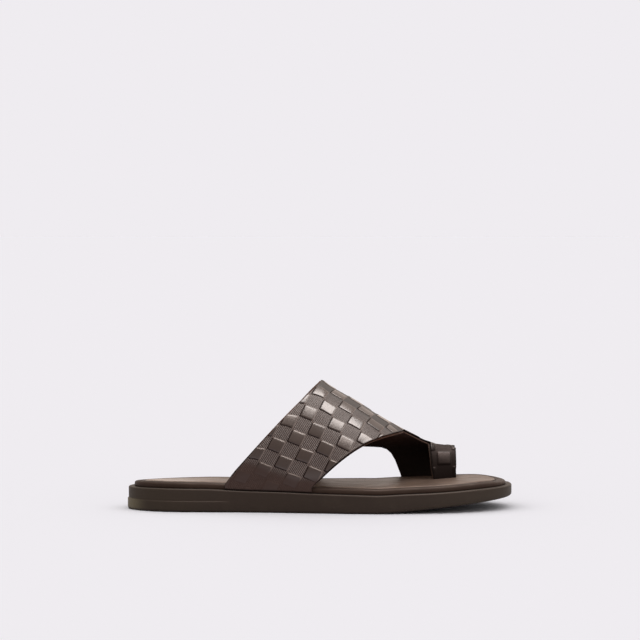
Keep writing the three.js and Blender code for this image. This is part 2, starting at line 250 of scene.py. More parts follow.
def follow(table, column, along):
    """A smooth curve through a table's column that never swings past its values."""
    knots = np.array(table["along"])
    values = np.array(table[column])
    slopes = np.diff(values) / np.diff(knots)
    before, after = slopes[:-1], slopes[1:]
    agree = before * after > 0.0
    total = np.where(agree, before + after, 1.0)
    inner = np.where(agree, 2.0 * before * after / total, 0.0)
    tangents = np.concatenate([slopes[:1], inner, slopes[-1:]])
    along = np.asarray(along, dtype=float)
    row = np.clip(np.searchsorted(knots, along, side="right") - 1, 0, len(knots) - 2)
    span = knots[row + 1] - knots[row]
    t = np.clip((along - knots[row]) / span, 0.0, 1.0)
    value = mix(values[row], values[row + 1], t * t * (3.0 - 2.0 * t))
    value = value + span * t * (1.0 - t) * ((1.0 - t) * tangents[row] - t * tangents[row + 1])
    below = np.minimum(0.0, along - knots[row])
    above = np.maximum(0.0, along - knots[row + 1])
    return value + below * tangents[row] + above * tangents[row + 1]


HEEL_END = -LENGTH / 2.0 + HEEL_STEP_PROUD
TOE_END = LENGTH / 2.0


def place_at(along):
    return mix(HEEL_END, TOE_END, along)


def along_at(x):
    return (x - HEEL_END) / (TOE_END - HEEL_END)


def plan_edge(along, side):
    heel = fade(HEEL_ROUND, 0.0, along)
    toe = fade(1.0 - TOE_ROUND, 1.0, along)
    rounding = (1.0 - heel ** HEEL_FULLNESS) ** (1.0 / HEEL_FULLNESS)
    rounding = rounding * (1.0 - toe ** TOE_FULLNESS) ** (1.0 / TOE_FULLNESS)
    return (follow(PLAN, "middle", along) + side * follow(PLAN, "half", along) * rounding) * BALL_WIDTH


WIDEST = np.linspace(0.4, 0.95, 400)
ACROSS_SHIFT = -(plan_edge(WIDEST, 1.0).max() + plan_edge(WIDEST, -1.0).min()) / 2.0


def edge_across(along, side):
    return plan_edge(along, side) + ACROSS_SHIFT


def floor_lift(along):
    return TOE_SPRING * fade(SPRING_START, 1.0, along) ** SPRING_POWER


def sole_top(along):
    return floor_lift(along) + follow(SOLE_PROFILE, "thickness", along) * HEEL_HEIGHT


def footbed_bottom(along):
    return sole_top(along) + SEAT_GAP


def footbed_top(along):
    return footbed_bottom(along) + FOOTBED_THICKNESS


# The upper's rows

WALL_INSET = FOOTBED_REVEAL - WALL_FIT - WALL


def ridge_height(along):
    return follow(RIDGE, "height", along) * INSTEP_HEIGHT


def ridge_across(along):
    return follow(RIDGE, "across", along) * BALL_WIDTH + ACROSS_SHIFT


def lateral_base(along):
    forward = fade(LATERAL_FRONT, RIDGE_END, along)
    return edge_across(along, -1.0) + WALL_INSET + FRONT_NARROWING * forward * forward


def medial_base(along):
    return edge_across(along, 1.0) - WALL_INSET


def height_shares(columns, end_share, fullness):
    """Height shares down each row, one row for each entry of end_share."""
    end_turn = np.arcsin(end_share ** (fullness / 2.0))
    turn = mix(math.pi / 2.0, end_turn[:, None], np.linspace(0.0, 1.0, columns + 1)[None, :])
    return np.sin(turn) ** (2.0 / fullness)


def arch_rows(crown, end_along, end_share, base, fullness, columns):
    """Rows of points from the ridge down to an edge of the band or the loop's inner side."""
    shares = height_shares(columns, end_share, fullness)
    sideways = (1.0 - shares) / (1.0 - end_share[:, None])
    along = mix(crown[:, None], end_along[:, None], sideways)
    outward = np.clip(1.0 - shares ** fullness, 0.0, 1.0) ** (1.0 / fullness)
    across = mix(ridge_across(along), base(along), outward)
    height = mix(footbed_top(along), ridge_height(along), shares)
    return np.stack([place_at(along), across, height], axis=2)


def lateral_rows(crown, columns):
    end = mix(LATERAL_REAR, LATERAL_FRONT, fade(PEAK, RIDGE_END, crown))
    return arch_rows(crown, end, np.zeros_like(crown), lateral_base, LATERAL_FULLNESS, columns)


def medial_ends(crown):
    """Where each inner row ends: at the band's foot, on the arch's free edge, or at the loop's foot."""
    band = mix(MEDIAL_REAR, MEDIAL_FRONT, fade(PEAK, ARCH_ROW_REAR, crown))
    loop = mix(LOOP_FOOT_REAR, LOOP_FOOT_FRONT, fade(ARCH_ROW_FRONT, LOOP_FRONT, crown))
    offset = -np.cos(math.pi * fade(ARCH_ROW_REAR, ARCH_ROW_FRONT, crown))
    power = np.where(offset < 0.0, ARCH_REAR_POWER, ARCH_FRONT_POWER)
    arch = (MEDIAL_FRONT + LOOP_FOOT_REAR) / 2.0 + (LOOP_FOOT_REAR - MEDIAL_FRONT) / 2.0 * offset
    rise = ARCH_RISE * (1.0 - np.abs(offset) ** power)
    share = rise / (ridge_height(arch) - footbed_top(arch))
    on_arch = (crown > ARCH_ROW_REAR) & (crown < ARCH_ROW_FRONT)
    footed = np.where(crown <= ARCH_ROW_REAR, band, loop)
    return np.where(on_arch, arch, footed), np.where(on_arch, share, 0.0), ~on_arch


def medial_rows(crown, columns):
    end, share, _ = medial_ends(crown)
    return arch_rows(crown, end, share, medial_base, MEDIAL_FULLNESS, columns)


def leg_rows(crown, columns):
    """The loop's near leg, from the ridge to its straight foot in the slot."""
    turn = math.radians(LEG_TURN_DEGREES)
    across = fade(LOOP_REAR, LOOP_FRONT, crown) * LEG_WIDTH
    foot_x = (place_at(LEG_FOOT_ALONG) + across * math.cos(turn))[:, None]
    foot_y = (LEG_FOOT_ACROSS * BALL_WIDTH + ACROSS_SHIFT + across * math.sin(turn))[:, None]
    shares = height_shares(columns, np.zeros_like(crown), LEG_FULLNESS)
    outward = np.clip(1.0 - shares ** LEG_FULLNESS, 0.0, 1.0) ** (1.0 / LEG_FULLNESS)
    ridge = crown[:, None]
    return np.stack([
        mix(place_at(ridge), foot_x, 1.0 - shares),
        mix(ridge_across(ridge), foot_y, outward),
        mix(footbed_top(along_at(foot_x)), ridge_height(ridge), shares),
    ], axis=2)


def flat_places(rows, crown, side):
    """Each point's place on the flat leather, its twist of the check, and its distance from the ridge.

    The inner side is folded out about the ridge, so that the check stays square on it.
    """
    steps = np.diff(rows, axis=1)
    across = np.hypot(steps[:, :, 1], steps[:, :, 2])
    travelled = np.concatenate([np.zeros((len(rows), 1)), np.cumsum(across, axis=1)], axis=1)
    start, drop = rows[:, :1, 0], ridge_drop(crown)[:, None]
    forward = rows[:, :, 0] - start
    turn = 0.0 if side > 0.0 else 2.0 * RIDGE_FALL
    along = start + forward * math.cos(turn) - side * travelled * math.sin(turn)
    down = drop + forward * math.sin(turn) + side * travelled * math.cos(turn)
    twist = along * down if side > 0.0 else np.broadcast_to(start * drop, along.shape)
    return np.stack([along, down, twist, travelled], axis=2)


def ridge_drop(crown):
    return INSTEP_HEIGHT - ridge_height(crown)


RIDGE_FALL = math.atan2(
    ridge_drop(RIDGE_END) - ridge_drop(PEAK), place_at(RIDGE_END) - place_at(PEAK))

# Columns of each point's places on the leather
FLAT_ALONG, FLAT_DOWN, TWIST, SHOE_ALONG, ABOVE_FOOT = range(5)


def unit(vectors):
    return vectors / np.maximum(np.linalg.norm(vectors, axis=-1, keepdims=True), TINY)


def unit_normals(points, faces):
    corners = points[faces]
    across = np.cross(corners[:, 2] - corners[:, 0], corners[:, 3] - corners[:, 1])
    total = np.zeros_like(points)
    for corner in range(4):
        np.add.at(total, faces[:, corner], across)
    return unit(total)


def new_object(name, points, faces, marks):
    """An object in the scene, from points in millimetres and named vectors that they carry."""
    mesh = bpy.data.meshes.new(name)
    mesh.from_pydata((np.asarray(points) * MM).tolist(), [], faces)
    for label, values in marks.items():
        store = mesh.attributes.new(label, "FLOAT_VECTOR", "POINT")
        store.data.foreach_set("vector", np.ascontiguousarray(values, dtype=np.float32).ravel())
    thing = bpy.data.objects.new(name, mesh)
    bpy.context.scene.collection.objects.link(thing)
    return thing


def add_piece(name, points, faces, node, marks=None):
    """A visible piece at the origin that stands for a node of the solids."""
    piece = new_object(name, points, [tidy_face(face) for face in faces], marks or {})
    mesh = piece.data
    mesh.polygons.foreach_set("use_smooth", [True] * len(mesh.polygons))
    mesh.update()
    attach(piece, "root")
    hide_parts(node)
    return piece


def tidy_face(face):
    """A face without the repeats that stand where a strip closes to a point."""
    return list(dict.fromkeys(int(corner) for corner in face))


def outline(stations):
    """The outsole's plan as a loop from the heel tip along the outer side, with its inward directions."""
    along = (1.0 - np.cos(np.pi * np.arange(stations + 1) / stations)) / 2.0
    lateral = np.stack([place_at(along), edge_across(along, -1.0)], axis=1)
    medial = np.stack([place_at(along), edge_across(along, 1.0)], axis=1)
    loop = np.concatenate([lateral, medial[-2:0:-1]])
    heading = unit(np.roll(loop, -1, axis=0) - np.roll(loop, 1, axis=0))
    return loop, np.stack([-heading[:, 1], heading[:, 0]], axis=1)


def ring_points(stations, inset, height):
    """One ring of a body that follows the plan; inset and height are rules of the place along."""
    loop, inward = outline(stations)
    plan = loop + inward * inset(along_at(loop[:, 0]))[:, None]
    return np.column_stack([plan, height(along_at(plan[:, 0]))])


def cap(ring, start, stations, columns, lift, first_free):
    """A grid of points across a ring, and the indices of its rows."""
    lateral = np.arange(stations + 1)
    medial = (2 * stations - lateral) % (2 * stations)
    share = np.arange(1, columns)[None, :, None] / columns
    inner = mix(ring[lateral][1:-1, None, :], ring[medial][1:-1, None, :], share)
    inner[:, :, 2] += lift(inner[:, :, 0], inner[:, :, 1], share[:, :, 0])
    rows = np.empty((stations + 1, columns + 1), dtype=int)
    rows[:, 0] = start + lateral
    rows[:, -1] = start + medial
    rows[1:-1, 1:-1] = first_free + np.arange(inner.shape[0] * inner.shape[1]).reshape(inner.shape[:2])
    rows[0, :] = start
    rows[-1, :] = start + stations
    return inner.reshape(-1, 3), rows


def grid_faces(rows, turned):
    quads = np.stack([rows[:-1, :-1], rows[1:, :-1], rows[1:, 1:], rows[:-1, 1:]], axis=2).reshape(-1, 4)
    return quads[:, ::-1] if turned else quads


def ring_body(stations, columns, rings, lift_below, lift_above):
    """A closed body through rings from its lowest to its highest, capped with a grid at both ends."""
    layers = [ring_points(stations, inset, height) for inset, height in rings]
    count = len(layers[0])
    total = count * len(layers)
    below, rows_below = cap(layers[0], 0, stations, columns, lift_below, total)
    top_start = count * (len(layers) - 1)
    above, rows_above = cap(layers[-1], top_start, stations, columns, lift_above, total + len(below))
    points = np.concatenate([*layers, below, above])
    wall_rows = np.arange(total).reshape(len(layers), count)
    wall_rows = np.column_stack([wall_rows, wall_rows[:, 0]])
    faces = np.concatenate([
        grid_faces(wall_rows, True),
        grid_faces(rows_below, True),
        grid_faces(rows_above, False),
    ])
    return points, faces


def flat_lift(x, y, share):
    """No lift, for a cap that stays as it is."""
    return np.zeros(np.broadcast(x, share).shape)


# Node helpers


def feed(tree, socket, value):
    if isinstance(value, bpy.types.NodeSocket):
        tree.links.new(value, socket)
    else:
        socket.default_value = value


def calculate(tree, operation, *values):
    node = tree.nodes.new("ShaderNodeMath")
    node.operation = operation
    for socket, value in zip(node.inputs, values):
        feed(tree, socket, value)
    return node.outputs[0]


def times(tree, *values):
    return calculate(tree, "MULTIPLY", *values)


def plus(tree, *values):
    return calculate(tree, "ADD", *values)


def minus(tree, *values):
    return calculate(tree, "SUBTRACT", *values)


def larger(tree, *values):
    return calculate(tree, "MAXIMUM", *values)


def ease(tree, value, start, end, low=0.0, high=1.0):
    node = tree.nodes.new("ShaderNodeMapRange")
    node.interpolation_type = "SMOOTHSTEP"
    for socket, given in zip(node.inputs, (value, start, end, low, high)):
        feed(tree, socket, given)
    return node.outputs[0]


def split(tree, vector):
    node = tree.nodes.new("ShaderNodeSeparateXYZ")
    feed(tree, node.inputs[0], vector)
    return node.outputs


def new_group(name, kind, given, results):
    """A node group with named inputs, each with its socket type and usual value, and named results."""
    group = bpy.data.node_groups.new(name, kind)
    for label, socket_type, usual in given:
        socket = group.interface.new_socket(name=label, in_out="INPUT", socket_type=socket_type)
        if usual is not None:
            socket.default_value = usual
    for label, socket_type in results:
        group.interface.new_socket(name=label, in_out="OUTPUT", socket_type=socket_type)
    given_node = group.nodes.new("NodeGroupInput")
    result_node = group.nodes.new("NodeGroupOutput")
    return group, given_node.outputs, result_node.inputs


def run_nodes(piece, group, values, material):
    """Runs a Geometry Nodes group on a piece with its inputs set, and keeps the result as a plain mesh."""
    modifier = piece.modifiers.new(group.name, "NODES")
    modifier.node_group = group
    for item in group.interface.items_tree:
        if item.in_out == "INPUT" and item.name in values:
            modifier[item.identifier] = values[item.name]
        if item.in_out == "INPUT" and item.name == "Material" and material:
            modifier[item.identifier] = material
    settle(piece, modifier)


def find_cell(tree, column, row):
    """The nearest cell's numbers, the place within it, and one on the cells between pads."""
    cell = [calculate(tree, "ROUND", value) for value in (column, row)]
    within = [minus(tree, value, nearest) for value, nearest in zip((column, row), cell)]
    halves = times(tree, plus(tree, *cell), 0.5)
    between = times(tree, calculate(tree, "FRACT", halves), 2.0)
    return cell, within, between


def pad_distance(tree, within, between, half, corner):
    """Distance from a pad's rounded edge in shares of a cell: below nothing on a pad."""
    reach = minus(tree, half, corner)
    sides = [minus(tree, calculate(tree, "ABSOLUTE", place), reach) for place in within]
    outer = [larger(tree, side, 0.0) for side in sides]
    squares = [times(tree, side, side) for side in outer]
    outside = calculate(tree, "SQRT", plus(tree, *squares))
    inside = calculate(tree, "MINIMUM", larger(tree, *sides), 0.0)
    edge = minus(tree, plus(tree, outside, inside), corner)
    return plus(tree, edge, between)


FLOAT = "NodeSocketFloat"
VECTOR = "NodeSocketVector"
GEOMETRY = "NodeSocketGeometry"
MATERIAL = "NodeSocketMaterial"


def named_vector(group, name):
    node = group.nodes.new("GeometryNodeInputNamedAttribute")
    node.data_type = "FLOAT_VECTOR"
    node.inputs["Name"].default_value = name
    return node.outputs["Attribute"]


def move_and_finish(group, given, offset, result):
    """Moves the points by an offset, realizes any instances and sets the material."""
    move = group.nodes.new("GeometryNodeSetPosition")
    group.links.new(given["Geometry"], move.inputs["Geometry"])
    group.links.new(offset, move.inputs["Offset"])
    realize = group.nodes.new("GeometryNodeRealizeInstances")
    group.links.new(move.outputs[0], realize.inputs[0])
    paint = group.nodes.new("GeometryNodeSetMaterial")
    group.links.new(realize.outputs[0], paint.inputs["Geometry"])
    group.links.new(given["Material"], paint.inputs["Material"])
    group.links.new(paint.outputs[0], result)


def emboss_group():
    """Geometry Nodes: raises the rounded pads of the check along the sheet's normals."""
    group, given, result = new_group("emboss_check", "GeometryNodeTree", (
        ("Geometry", GEOMETRY, None),
        ("Pad half", FLOAT, PAD_HALF),
        ("Corner", FLOAT, PAD_CORNER),
        ("Bevel", FLOAT, PAD_BEVEL),
        ("Height", FLOAT, 0.0),
        ("Material", MATERIAL, None),
    ), (("Geometry", GEOMETRY),))
    column, row, plain = split(group, named_vector(group, "check"))
    _, within, between = find_cell(group, column, row)
    distance = pad_distance(group, within, between, given["Pad half"], given["Corner"])
    bevel = times(group, given["Bevel"], -1.0)
    raised = ease(group, distance, 0.0, bevel)
    patterned = minus(group, 1.0, times(group, plain, PLAIN_SHARE))
    height = times(group, times(group, raised, patterned), given["Height"])
    way = group.nodes.new("ShaderNodeVectorMath")
    way.operation = "SCALE"
    group.links.new(group.nodes.new("GeometryNodeInputNormal").outputs[0], way.inputs[0])
    group.links.new(height, way.inputs["Scale"])
    move_and_finish(group, given, way.outputs[0], result[0])
    return group


def tread_group():
    """Geometry Nodes: presses the cross grooves of the tread up into the sole."""
    group, given, result = new_group("tread_grooves", "GeometryNodeTree", (
        ("Geometry", GEOMETRY, None),
        ("Pitch", FLOAT, 1.0),
        ("Width", FLOAT, 1.0),
        ("Depth", FLOAT, 0.0),
        ("Material", MATERIAL, None),
    ), (("Geometry", GEOMETRY),))
    place, strength, _ = split(group, named_vector(group, "tread"))
    away = calculate(group, "ABSOLUTE", minus(group, place, calculate(group, "ROUND", place)))
    away = times(group, away, given["Pitch"])
    half = times(group, given["Width"], 0.5)
    deep = ease(group, away, plus(group, half, GROOVE_SLOPE * MM), half)
    rise = times(group, times(group, deep, strength), given["Depth"])
    way = group.nodes.new("ShaderNodeCombineXYZ")
    group.links.new(rise, way.inputs["Z"])
    move_and_finish(group, given, way.outputs[0], result[0])
    return group


# Outsole, footbed and insole


def heel_step(along):
    return -HEEL_STEP_PROUD * (1.0 - smooth_fade(*HEEL_STEP_END, along))


def step_height(along):
    wall = follow(SOLE_PROFILE, "thickness", along) * HEEL_HEIGHT
    return np.minimum(HEEL_STEP_HEIGHT, wall * HEEL_STEP_MOST)


def outsole_rings():
    rings = []
    for turn in np.linspace(0.0, math.pi / 2.0, ROUND_STEPS):
        inset = SOLE_EDGE_ROUND * (1.0 - math.sin(turn))
        rise = SOLE_EDGE_ROUND * (1.0 - math.cos(turn))
        rings.append((
            lambda along, inset=inset: inset + heel_step(along),
            lambda along, rise=rise: floor_lift(along) + rise,
        ))
    for inset, rise in ((heel_step, -SHARP_EDGE), (heel_step, 0.0),
                        (np.zeros_like, HEEL_STEP_LEDGE), (np.zeros_like, HEEL_STEP_LEDGE + SHARP_EDGE)):
        rings.append((inset, lambda along, rise=rise: floor_lift(along) + step_height(along) + rise))
    for drop in (RIM_ROUND + SHARP_EDGE, RIM_ROUND):
        rings.append((np.zeros_like, lambda along, drop=drop: sole_top(along) - drop))
    for turn in np.linspace(0.0, math.pi / 2.0, ROUND_STEPS)[1:]:
        inset = RIM_ROUND * (1.0 - math.cos(turn))
        drop = RIM_ROUND * (1.0 - math.sin(turn))
        rings.append((
            lambda along, inset=inset: np.full_like(along, inset),
            lambda along, drop=drop: sole_top(along) - drop,
        ))
    return rings


def tread_marks(points):
    """For each point of the sole: its place in a field, counted in pitches, and one where grooves go."""
    marks = np.zeros_like(points)
    across = points[:, 1]
    along = along_at(points[:, 0])
    inner = np.minimum(across - edge_across(along, -1.0), edge_across(along, 1.0) - across)
    border = (inner > TREAD_BORDER) & (points[:, 2] < floor_lift(along) + MM)
    for start_share, end_share in TREAD_FIELDS:
        room = place_at(end_share) - place_at(start_share)
        count = math.floor(room / GROOVE_PITCH) + 1
        start = place_at(start_share) + (room - (count - 1) * GROOVE_PITCH) / 2.0
        places = (points[:, 0] - start) / GROOVE_PITCH
        inside = border & (places > -0.5) & (places < count - 0.5)
        marks[inside, 0] = places[inside]
        marks[inside, 1] = 1.0
    return marks


def make_outsole():
    points, faces = ring_body(SOLE_STATIONS, SOLE_COLUMNS, outsole_rings(), flat_lift, flat_lift)
    marks = {"tread": tread_marks(points)}
    return add_piece("outsole_rubber", points, faces, "outsole", marks)


def toe_sink(along):
    """How far the seat's top sinks towards the outsole at the toe."""
    return TOE_SINK * smooth_fade(*TOE_SINK_REACH, along)


def section_rings(section, wide, tall, start, bottom):
    """Rings for a section given as shares of a width and a height, beginning at an inset."""
    rings = []
    for inset, height in zip(section["inset"], section["height"]):
        rings.append((
            lambda along, inset=inset: np.full_like(along, start + wide * inset),
            lambda along, height=height: bottom(along) + (tall - toe_sink(along)) * height,
        ))
    return rings


def hollow_lift(x, y, share):
    """How far the worn hollows sink the top of the insole; nothing at its edges."""
    sink = np.zeros(np.broadcast(x, share).shape)
    for column in range(len(HOLLOWS["along"])):
        away_x = (x - place_at(HOLLOWS["along"][column])) / HOLLOWS["long"][column]
        away_y = (y - HOLLOWS["across"][column] * BALL_WIDTH) / HOLLOWS["wide"][column]
        sink = sink - HOLLOWS["depth"][column] * np.exp(-(away_x ** 2 + away_y ** 2))
    return sink * np.sin(math.pi * share) ** HOLLOW_FADE


def tread_down(points):
    """Sinks the inner side of the heel seat, where the foot has pressed it down."""
    along = along_at(points[:, 0])
    thickness = (points[:, 2] - footbed_bottom(along)) / FOOTBED_THICKNESS
    inner = smooth_fade(-TRODDEN_ACROSS, TRODDEN_ACROSS, points[:, 1])
    points[:, 2] -= TRODDEN * smooth_fade(TRODDEN_END, 0.0, along) * inner * thickness
    return points


def make_footbed():
    rings = section_rings(RIM_SECTION, FOOTBED_RIM, FOOTBED_THICKNESS, FOOTBED_REVEAL, footbed_bottom)
    points, faces = ring_body(SEAT_STATIONS, SEAT_COLUMNS, rings, flat_lift, flat_lift)
    piece = add_piece("footbed_leather", tread_down(points), faces, "footbed")
    cut_leg_slot(piece)
    return piece


def make_insole():
    edge = FOOTBED_REVEAL + FOOTBED_RIM
    rings = section_rings(INSOLE_SECTION, INSOLE_GROOVE, INSOLE_THICKNESS, edge, insole_bottom)
    rings = [(inset, lambda along, height=height: height(along) - toe_sink(along) * TOE_SINK_LEFT)
             for inset, height in rings]
    points, faces = ring_body(SEAT_STATIONS, SEAT_COLUMNS, rings, flat_lift, hollow_lift)
    piece = add_piece("insole_panel", tread_down(points), faces, "insole")
    cut_leg_slot(piece)
    return piece


def insole_bottom(along):
    return footbed_top(along) - RECESS_DEPTH + SEAT_GAP


def cut_leg_slot(piece):
    """Cuts the slot that the loop's near leg goes down through."""
    turn = math.radians(LEG_TURN_DEGREES)
    heading = np.array([math.cos(turn), math.sin(turn)])
    inward = np.array([-heading[1], heading[0]])
    start = np.array([place_at(LEG_FOOT_ALONG), LEG_FOOT_ACROSS * BALL_WIDTH + ACROSS_SHIFT])
    middle = start + heading * LEG_WIDTH / 2.0 + inward * WALL / 2.0
    half = np.array([LEG_WIDTH / 2.0 + SLOT_CLEARANCE, WALL / 2.0 + SLOT_CLEARANCE])
    corners = []
    for height in (0.0, SLOT_CUTTER_HEIGHT):
        for along, across in ((-1, -1), (1, -1), (1, 1), (-1, 1)):
            plan = middle + heading * half[0] * along + inward * half[1] * across
            corners.append([*plan, height])
    faces = [[3, 2, 1, 0], [4, 5, 6, 7], [0, 1, 5, 4], [1, 2, 6, 5], [2, 3, 7, 6], [3, 0, 4, 7]]
    cutter = new_object("slot", corners, faces, {})
    cut = piece.modifiers.new("slot", "BOOLEAN")
    cut.operation = "DIFFERENCE"
    cut.solver = "EXACT"
    cut.object = cutter
    settle(piece, cut)
    bpy.data.objects.remove(cutter)


def settle(piece, modifier):
    """Turns a piece with its modifier into a plain mesh."""
    evaluated = piece.evaluated_get(bpy.context.evaluated_depsgraph_get())
    mesh = bpy.data.meshes.new_from_object(evaluated)
    piece.modifiers.remove(modifier)
    piece.data = mesh


# Upper


def ridge_crowns(coarser):
    """Places along the ridge where the rows start, with every corner of the outline among them."""
    corners = (PEAK, ARCH_ROW_REAR, RIDGE_END, ARCH_ROW_FRONT, LOOP_REAR, LOOP_FRONT)
    crowns = [np.array([corners[0]])]
    for start, end in zip(corners[:-1], corners[1:]):
        steps = max(2, round((end - start) / ROW_GAP / coarser))
        crowns.append(np.linspace(start, end, steps + 1)[1:])
    return np.concatenate(crowns)


def with_foot(rows):
    """Adds the short straight foot that goes down beside the footbed."""
    last = rows[:, -1, :]
    share = np.linspace(0.0, 1.0, FOOT_COLUMNS + 1)[None, 1:, None]
    foot = np.repeat(last[:, None, :], FOOT_COLUMNS, axis=1)
    ground = footbed_bottom(along_at(last[:, 0]))[:, None, None]
    foot[:, :, 2] = mix(last[:, None, 2:], ground, share)[:, :, 0]
    return np.concatenate([rows, foot], axis=1)


def upper_sheet(coarser):
    """The upper's outer face: points, faces, and each point's place on the flat leather."""
    crowns = ridge_crowns(coarser)
    everywhere = np.ones(len(crowns), dtype=bool)
    strips = (
        (lateral_rows, crowns <= RIDGE_END, SIDE_COLUMNS // coarser, 1.0, True),
        (medial_rows, everywhere, INNER_COLUMNS // coarser, -1.0, False),
        (leg_rows, crowns >= LOOP_REAR, LEG_COLUMNS // coarser, 1.0, True),
    )
    ridge = np.stack([place_at(crowns), ridge_across(crowns), ridge_height(crowns)], axis=1)
    points = [ridge]
    ridge[:, 0] -= loop_setback(crowns, 0.0)
    drop = ridge_drop(crowns)
    places = [np.stack([
        ridge[:, 0], drop, ridge[:, 0] * drop, ridge[:, 0], ridge[:, 2] - footbed_top(crowns),
    ], axis=1)]
    faces = []
    free = len(crowns)
    for rule, chosen, columns, side, turned in strips:
        crown = crowns[chosen]
        rows = with_foot(rule(crown, columns))
        flat = flat_places(rows, crown, side)
        rows[:, :, 0] -= loop_setback(crown[:, None], flat[:, :, -1])
        above_foot = rows[:, :, 2] - footbed_top(along_at(rows[:, :, 0]))
        index = np.empty(rows.shape[:2], dtype=int)
        index[:, 0] = np.flatnonzero(chosen)
        index[:, 1:] = free + np.arange(rows[:, 1:, 0].size).reshape(rows[:, 1:, 0].shape)
        free += rows[:, 1:, 0].size
        points.append(rows[:, 1:].reshape(-1, 3))
        place = np.dstack([flat[:, :, :-1], rows[:, :, 0], above_foot])
        places.append(place[:, 1:].reshape(-1, place.shape[2]))
        faces.append(grid_faces(index[:, : columns + 1], turned))
        stands = medial_ends(crown)[2] if rule is medial_rows else np.ones(len(crown), dtype=bool)
        for group in standing_runs(stands):
            faces.append(grid_faces(index[group, columns:], turned))
    return compact(np.concatenate(points), np.concatenate(faces), np.concatenate(places))


def loop_setback(crown, away):
    """How far the loop's front edge stands back near the ridge, which rounds its upper corner."""
    near_front = smooth_fade(mix(LOOP_REAR, LOOP_FRONT, 0.5), LOOP_FRONT, crown)
    return LOOP_CORNER * near_front * np.exp(-(away / LOOP_CORNER_REACH) ** 2)


def standing_runs(stands):
    """Runs of neighbouring rows that all stand on the sole."""
    ends = np.flatnonzero(np.diff(stands.astype(int))) + 1
    return [run for run in np.split(np.arange(len(stands)), ends) if stands[run[0]]]


def compact(points, faces, places):
    """Leaves out the points that no face uses."""
    used = np.unique(faces)
    order = np.full(len(points), -1)
    order[used] = np.arange(len(used))
    return points[used], order[faces], places[used]


def crease_depth(places):
    """How far the soft creases push the leather in, from its flat places."""
    depth = np.zeros(len(places))
    for column in range(len(CREASES["along"])):
        turn = math.radians(CREASES["turn"][column])
        along = places[:, FLAT_ALONG] - CREASES["along"][column]
        down = places[:, FLAT_DOWN] - CREASES["down"][column]
        length = (along * math.cos(turn) + down * math.sin(turn)) / CREASES["long"][column]
        width = (down * math.cos(turn) - along * math.sin(turn)) / CREASES["wide"][column]
        depth += CREASES["depth"][column] * np.exp(-(length ** 2 + width ** 2))
    return depth


def check_places(places):
    """Column and row of the embossed check at each flat place, and how plain the leather is there, with a
    mark added for the painted contact shade at the band's foot.
    """
    terms = np.stack([
        np.ones(len(places)),
        places[:, FLAT_ALONG] / CHECK_UNIT,
        places[:, FLAT_DOWN] / CHECK_UNIT,
        places[:, TWIST] / CHECK_UNIT ** 2,
    ], axis=1)
    on_loop = smooth_fade(*LOOP_CHECK_REACH, places[:, SHOE_ALONG])
    column = mix(terms @ np.array(CHECK["column"]), terms @ np.array(LOOP_CHECK["column"]), on_loop)
    row = mix(terms @ np.array(CHECK["row"]), terms @ np.array(LOOP_CHECK["row"]), on_loop)
    above = places[:, ABOVE_FOOT]
    plain = 1.0 - smooth_fade(*PLAIN_FOOT, above)
    plain = np.maximum(plain, smooth_fade(*PLAIN_ROWS, row))
    # A mark for the painted contact shade low on the band's foot
    plain = plain + CONTACT_SHADE_MARK * fade(*CONTACT_SHADE_REACH, above)
    return np.stack([column, row, plain], axis=1)


def free_edges(faces):
    """Edges of one face only, each in the direction in which its face goes round."""
    starts = faces.ravel()
    ends = np.roll(faces, -1, axis=1).ravel()
    span = int(faces.max()) + 1
    forward = starts * span + ends
    alone = ~np.isin(forward, ends * span + starts)
    return starts[alone], ends[alone]


def layer(front, back, normals, faces, bulge, beyond):
    """Closes two faces into a layer of leather with rounded edges, which reach beyond the sheet's own."""
    starts, ends = free_edges(faces)
    outward = np.zeros_like(front)
    edge_way = np.cross(front[ends] - front[starts], normals[starts])
    np.add.at(outward, starts, edge_way)
    np.add.at(outward, ends, edge_way)
    rim = np.unique(np.concatenate([starts, ends]))
    outward = unit(outward[rim])
    front, back = front.copy(), back.copy()
    front[rim] += outward * beyond[rim, None]
    back[rim] += outward * beyond[rim, None]
    place = np.full(len(front), -1)
    place[rim] = np.arange(len(rim))
    points = [front, back]
    rings = [rim]
    for step in range(1, EDGE_RINGS + 1):
        share = step / (EDGE_RINGS + 1.0)
        ring = mix(front[rim], back[rim], share) + outward * bulge * math.sin(math.pi * share)
        rings.append(sum(len(part) for part in points) + np.arange(len(rim)))
        points.append(ring)
    rings.append(len(front) + rim)
    sides = []
    for upper, lower in zip(rings[:-1], rings[1:]):
        sides.append(np.stack([
            upper[place[ends]], upper[place[starts]], lower[place[starts]], lower[place[ends]],
        ], axis=1))
    return np.concatenate(points), np.concatenate([faces, faces[:, ::-1] + len(front), *sides])


def emboss(points, faces, check):
    sheet = new_object("sheet", points, faces.tolist(), {"check": check})
    run_nodes(sheet, emboss_group(), {
        "Pad half": PAD_HALF, "Corner": PAD_CORNER, "Bevel": PAD_BEVEL, "Height": PAD_HEIGHT * MM,
    }, None)
    raised = np.empty(len(sheet.data.vertices) * 3)
    sheet.data.vertices.foreach_get("co", raised)
    bpy.data.objects.remove(sheet)
    return raised.reshape(-1, 3) / MM


def creased_sheet(coarser):
    points, faces, places = upper_sheet(coarser)
    points = points - unit_normals(points, faces) * crease_depth(places)[:, None]
    return points, faces, places, unit_normals(points, faces)


def edge_marks(points, check):
    """The check's places for a layer's two faces, with a mark on its cut edges."""
    marks = np.full((len(points), 3), EDGE_MARK)
    marks[: len(check)] = check
    marks[len(check): 2 * len(check)] = check
    return marks


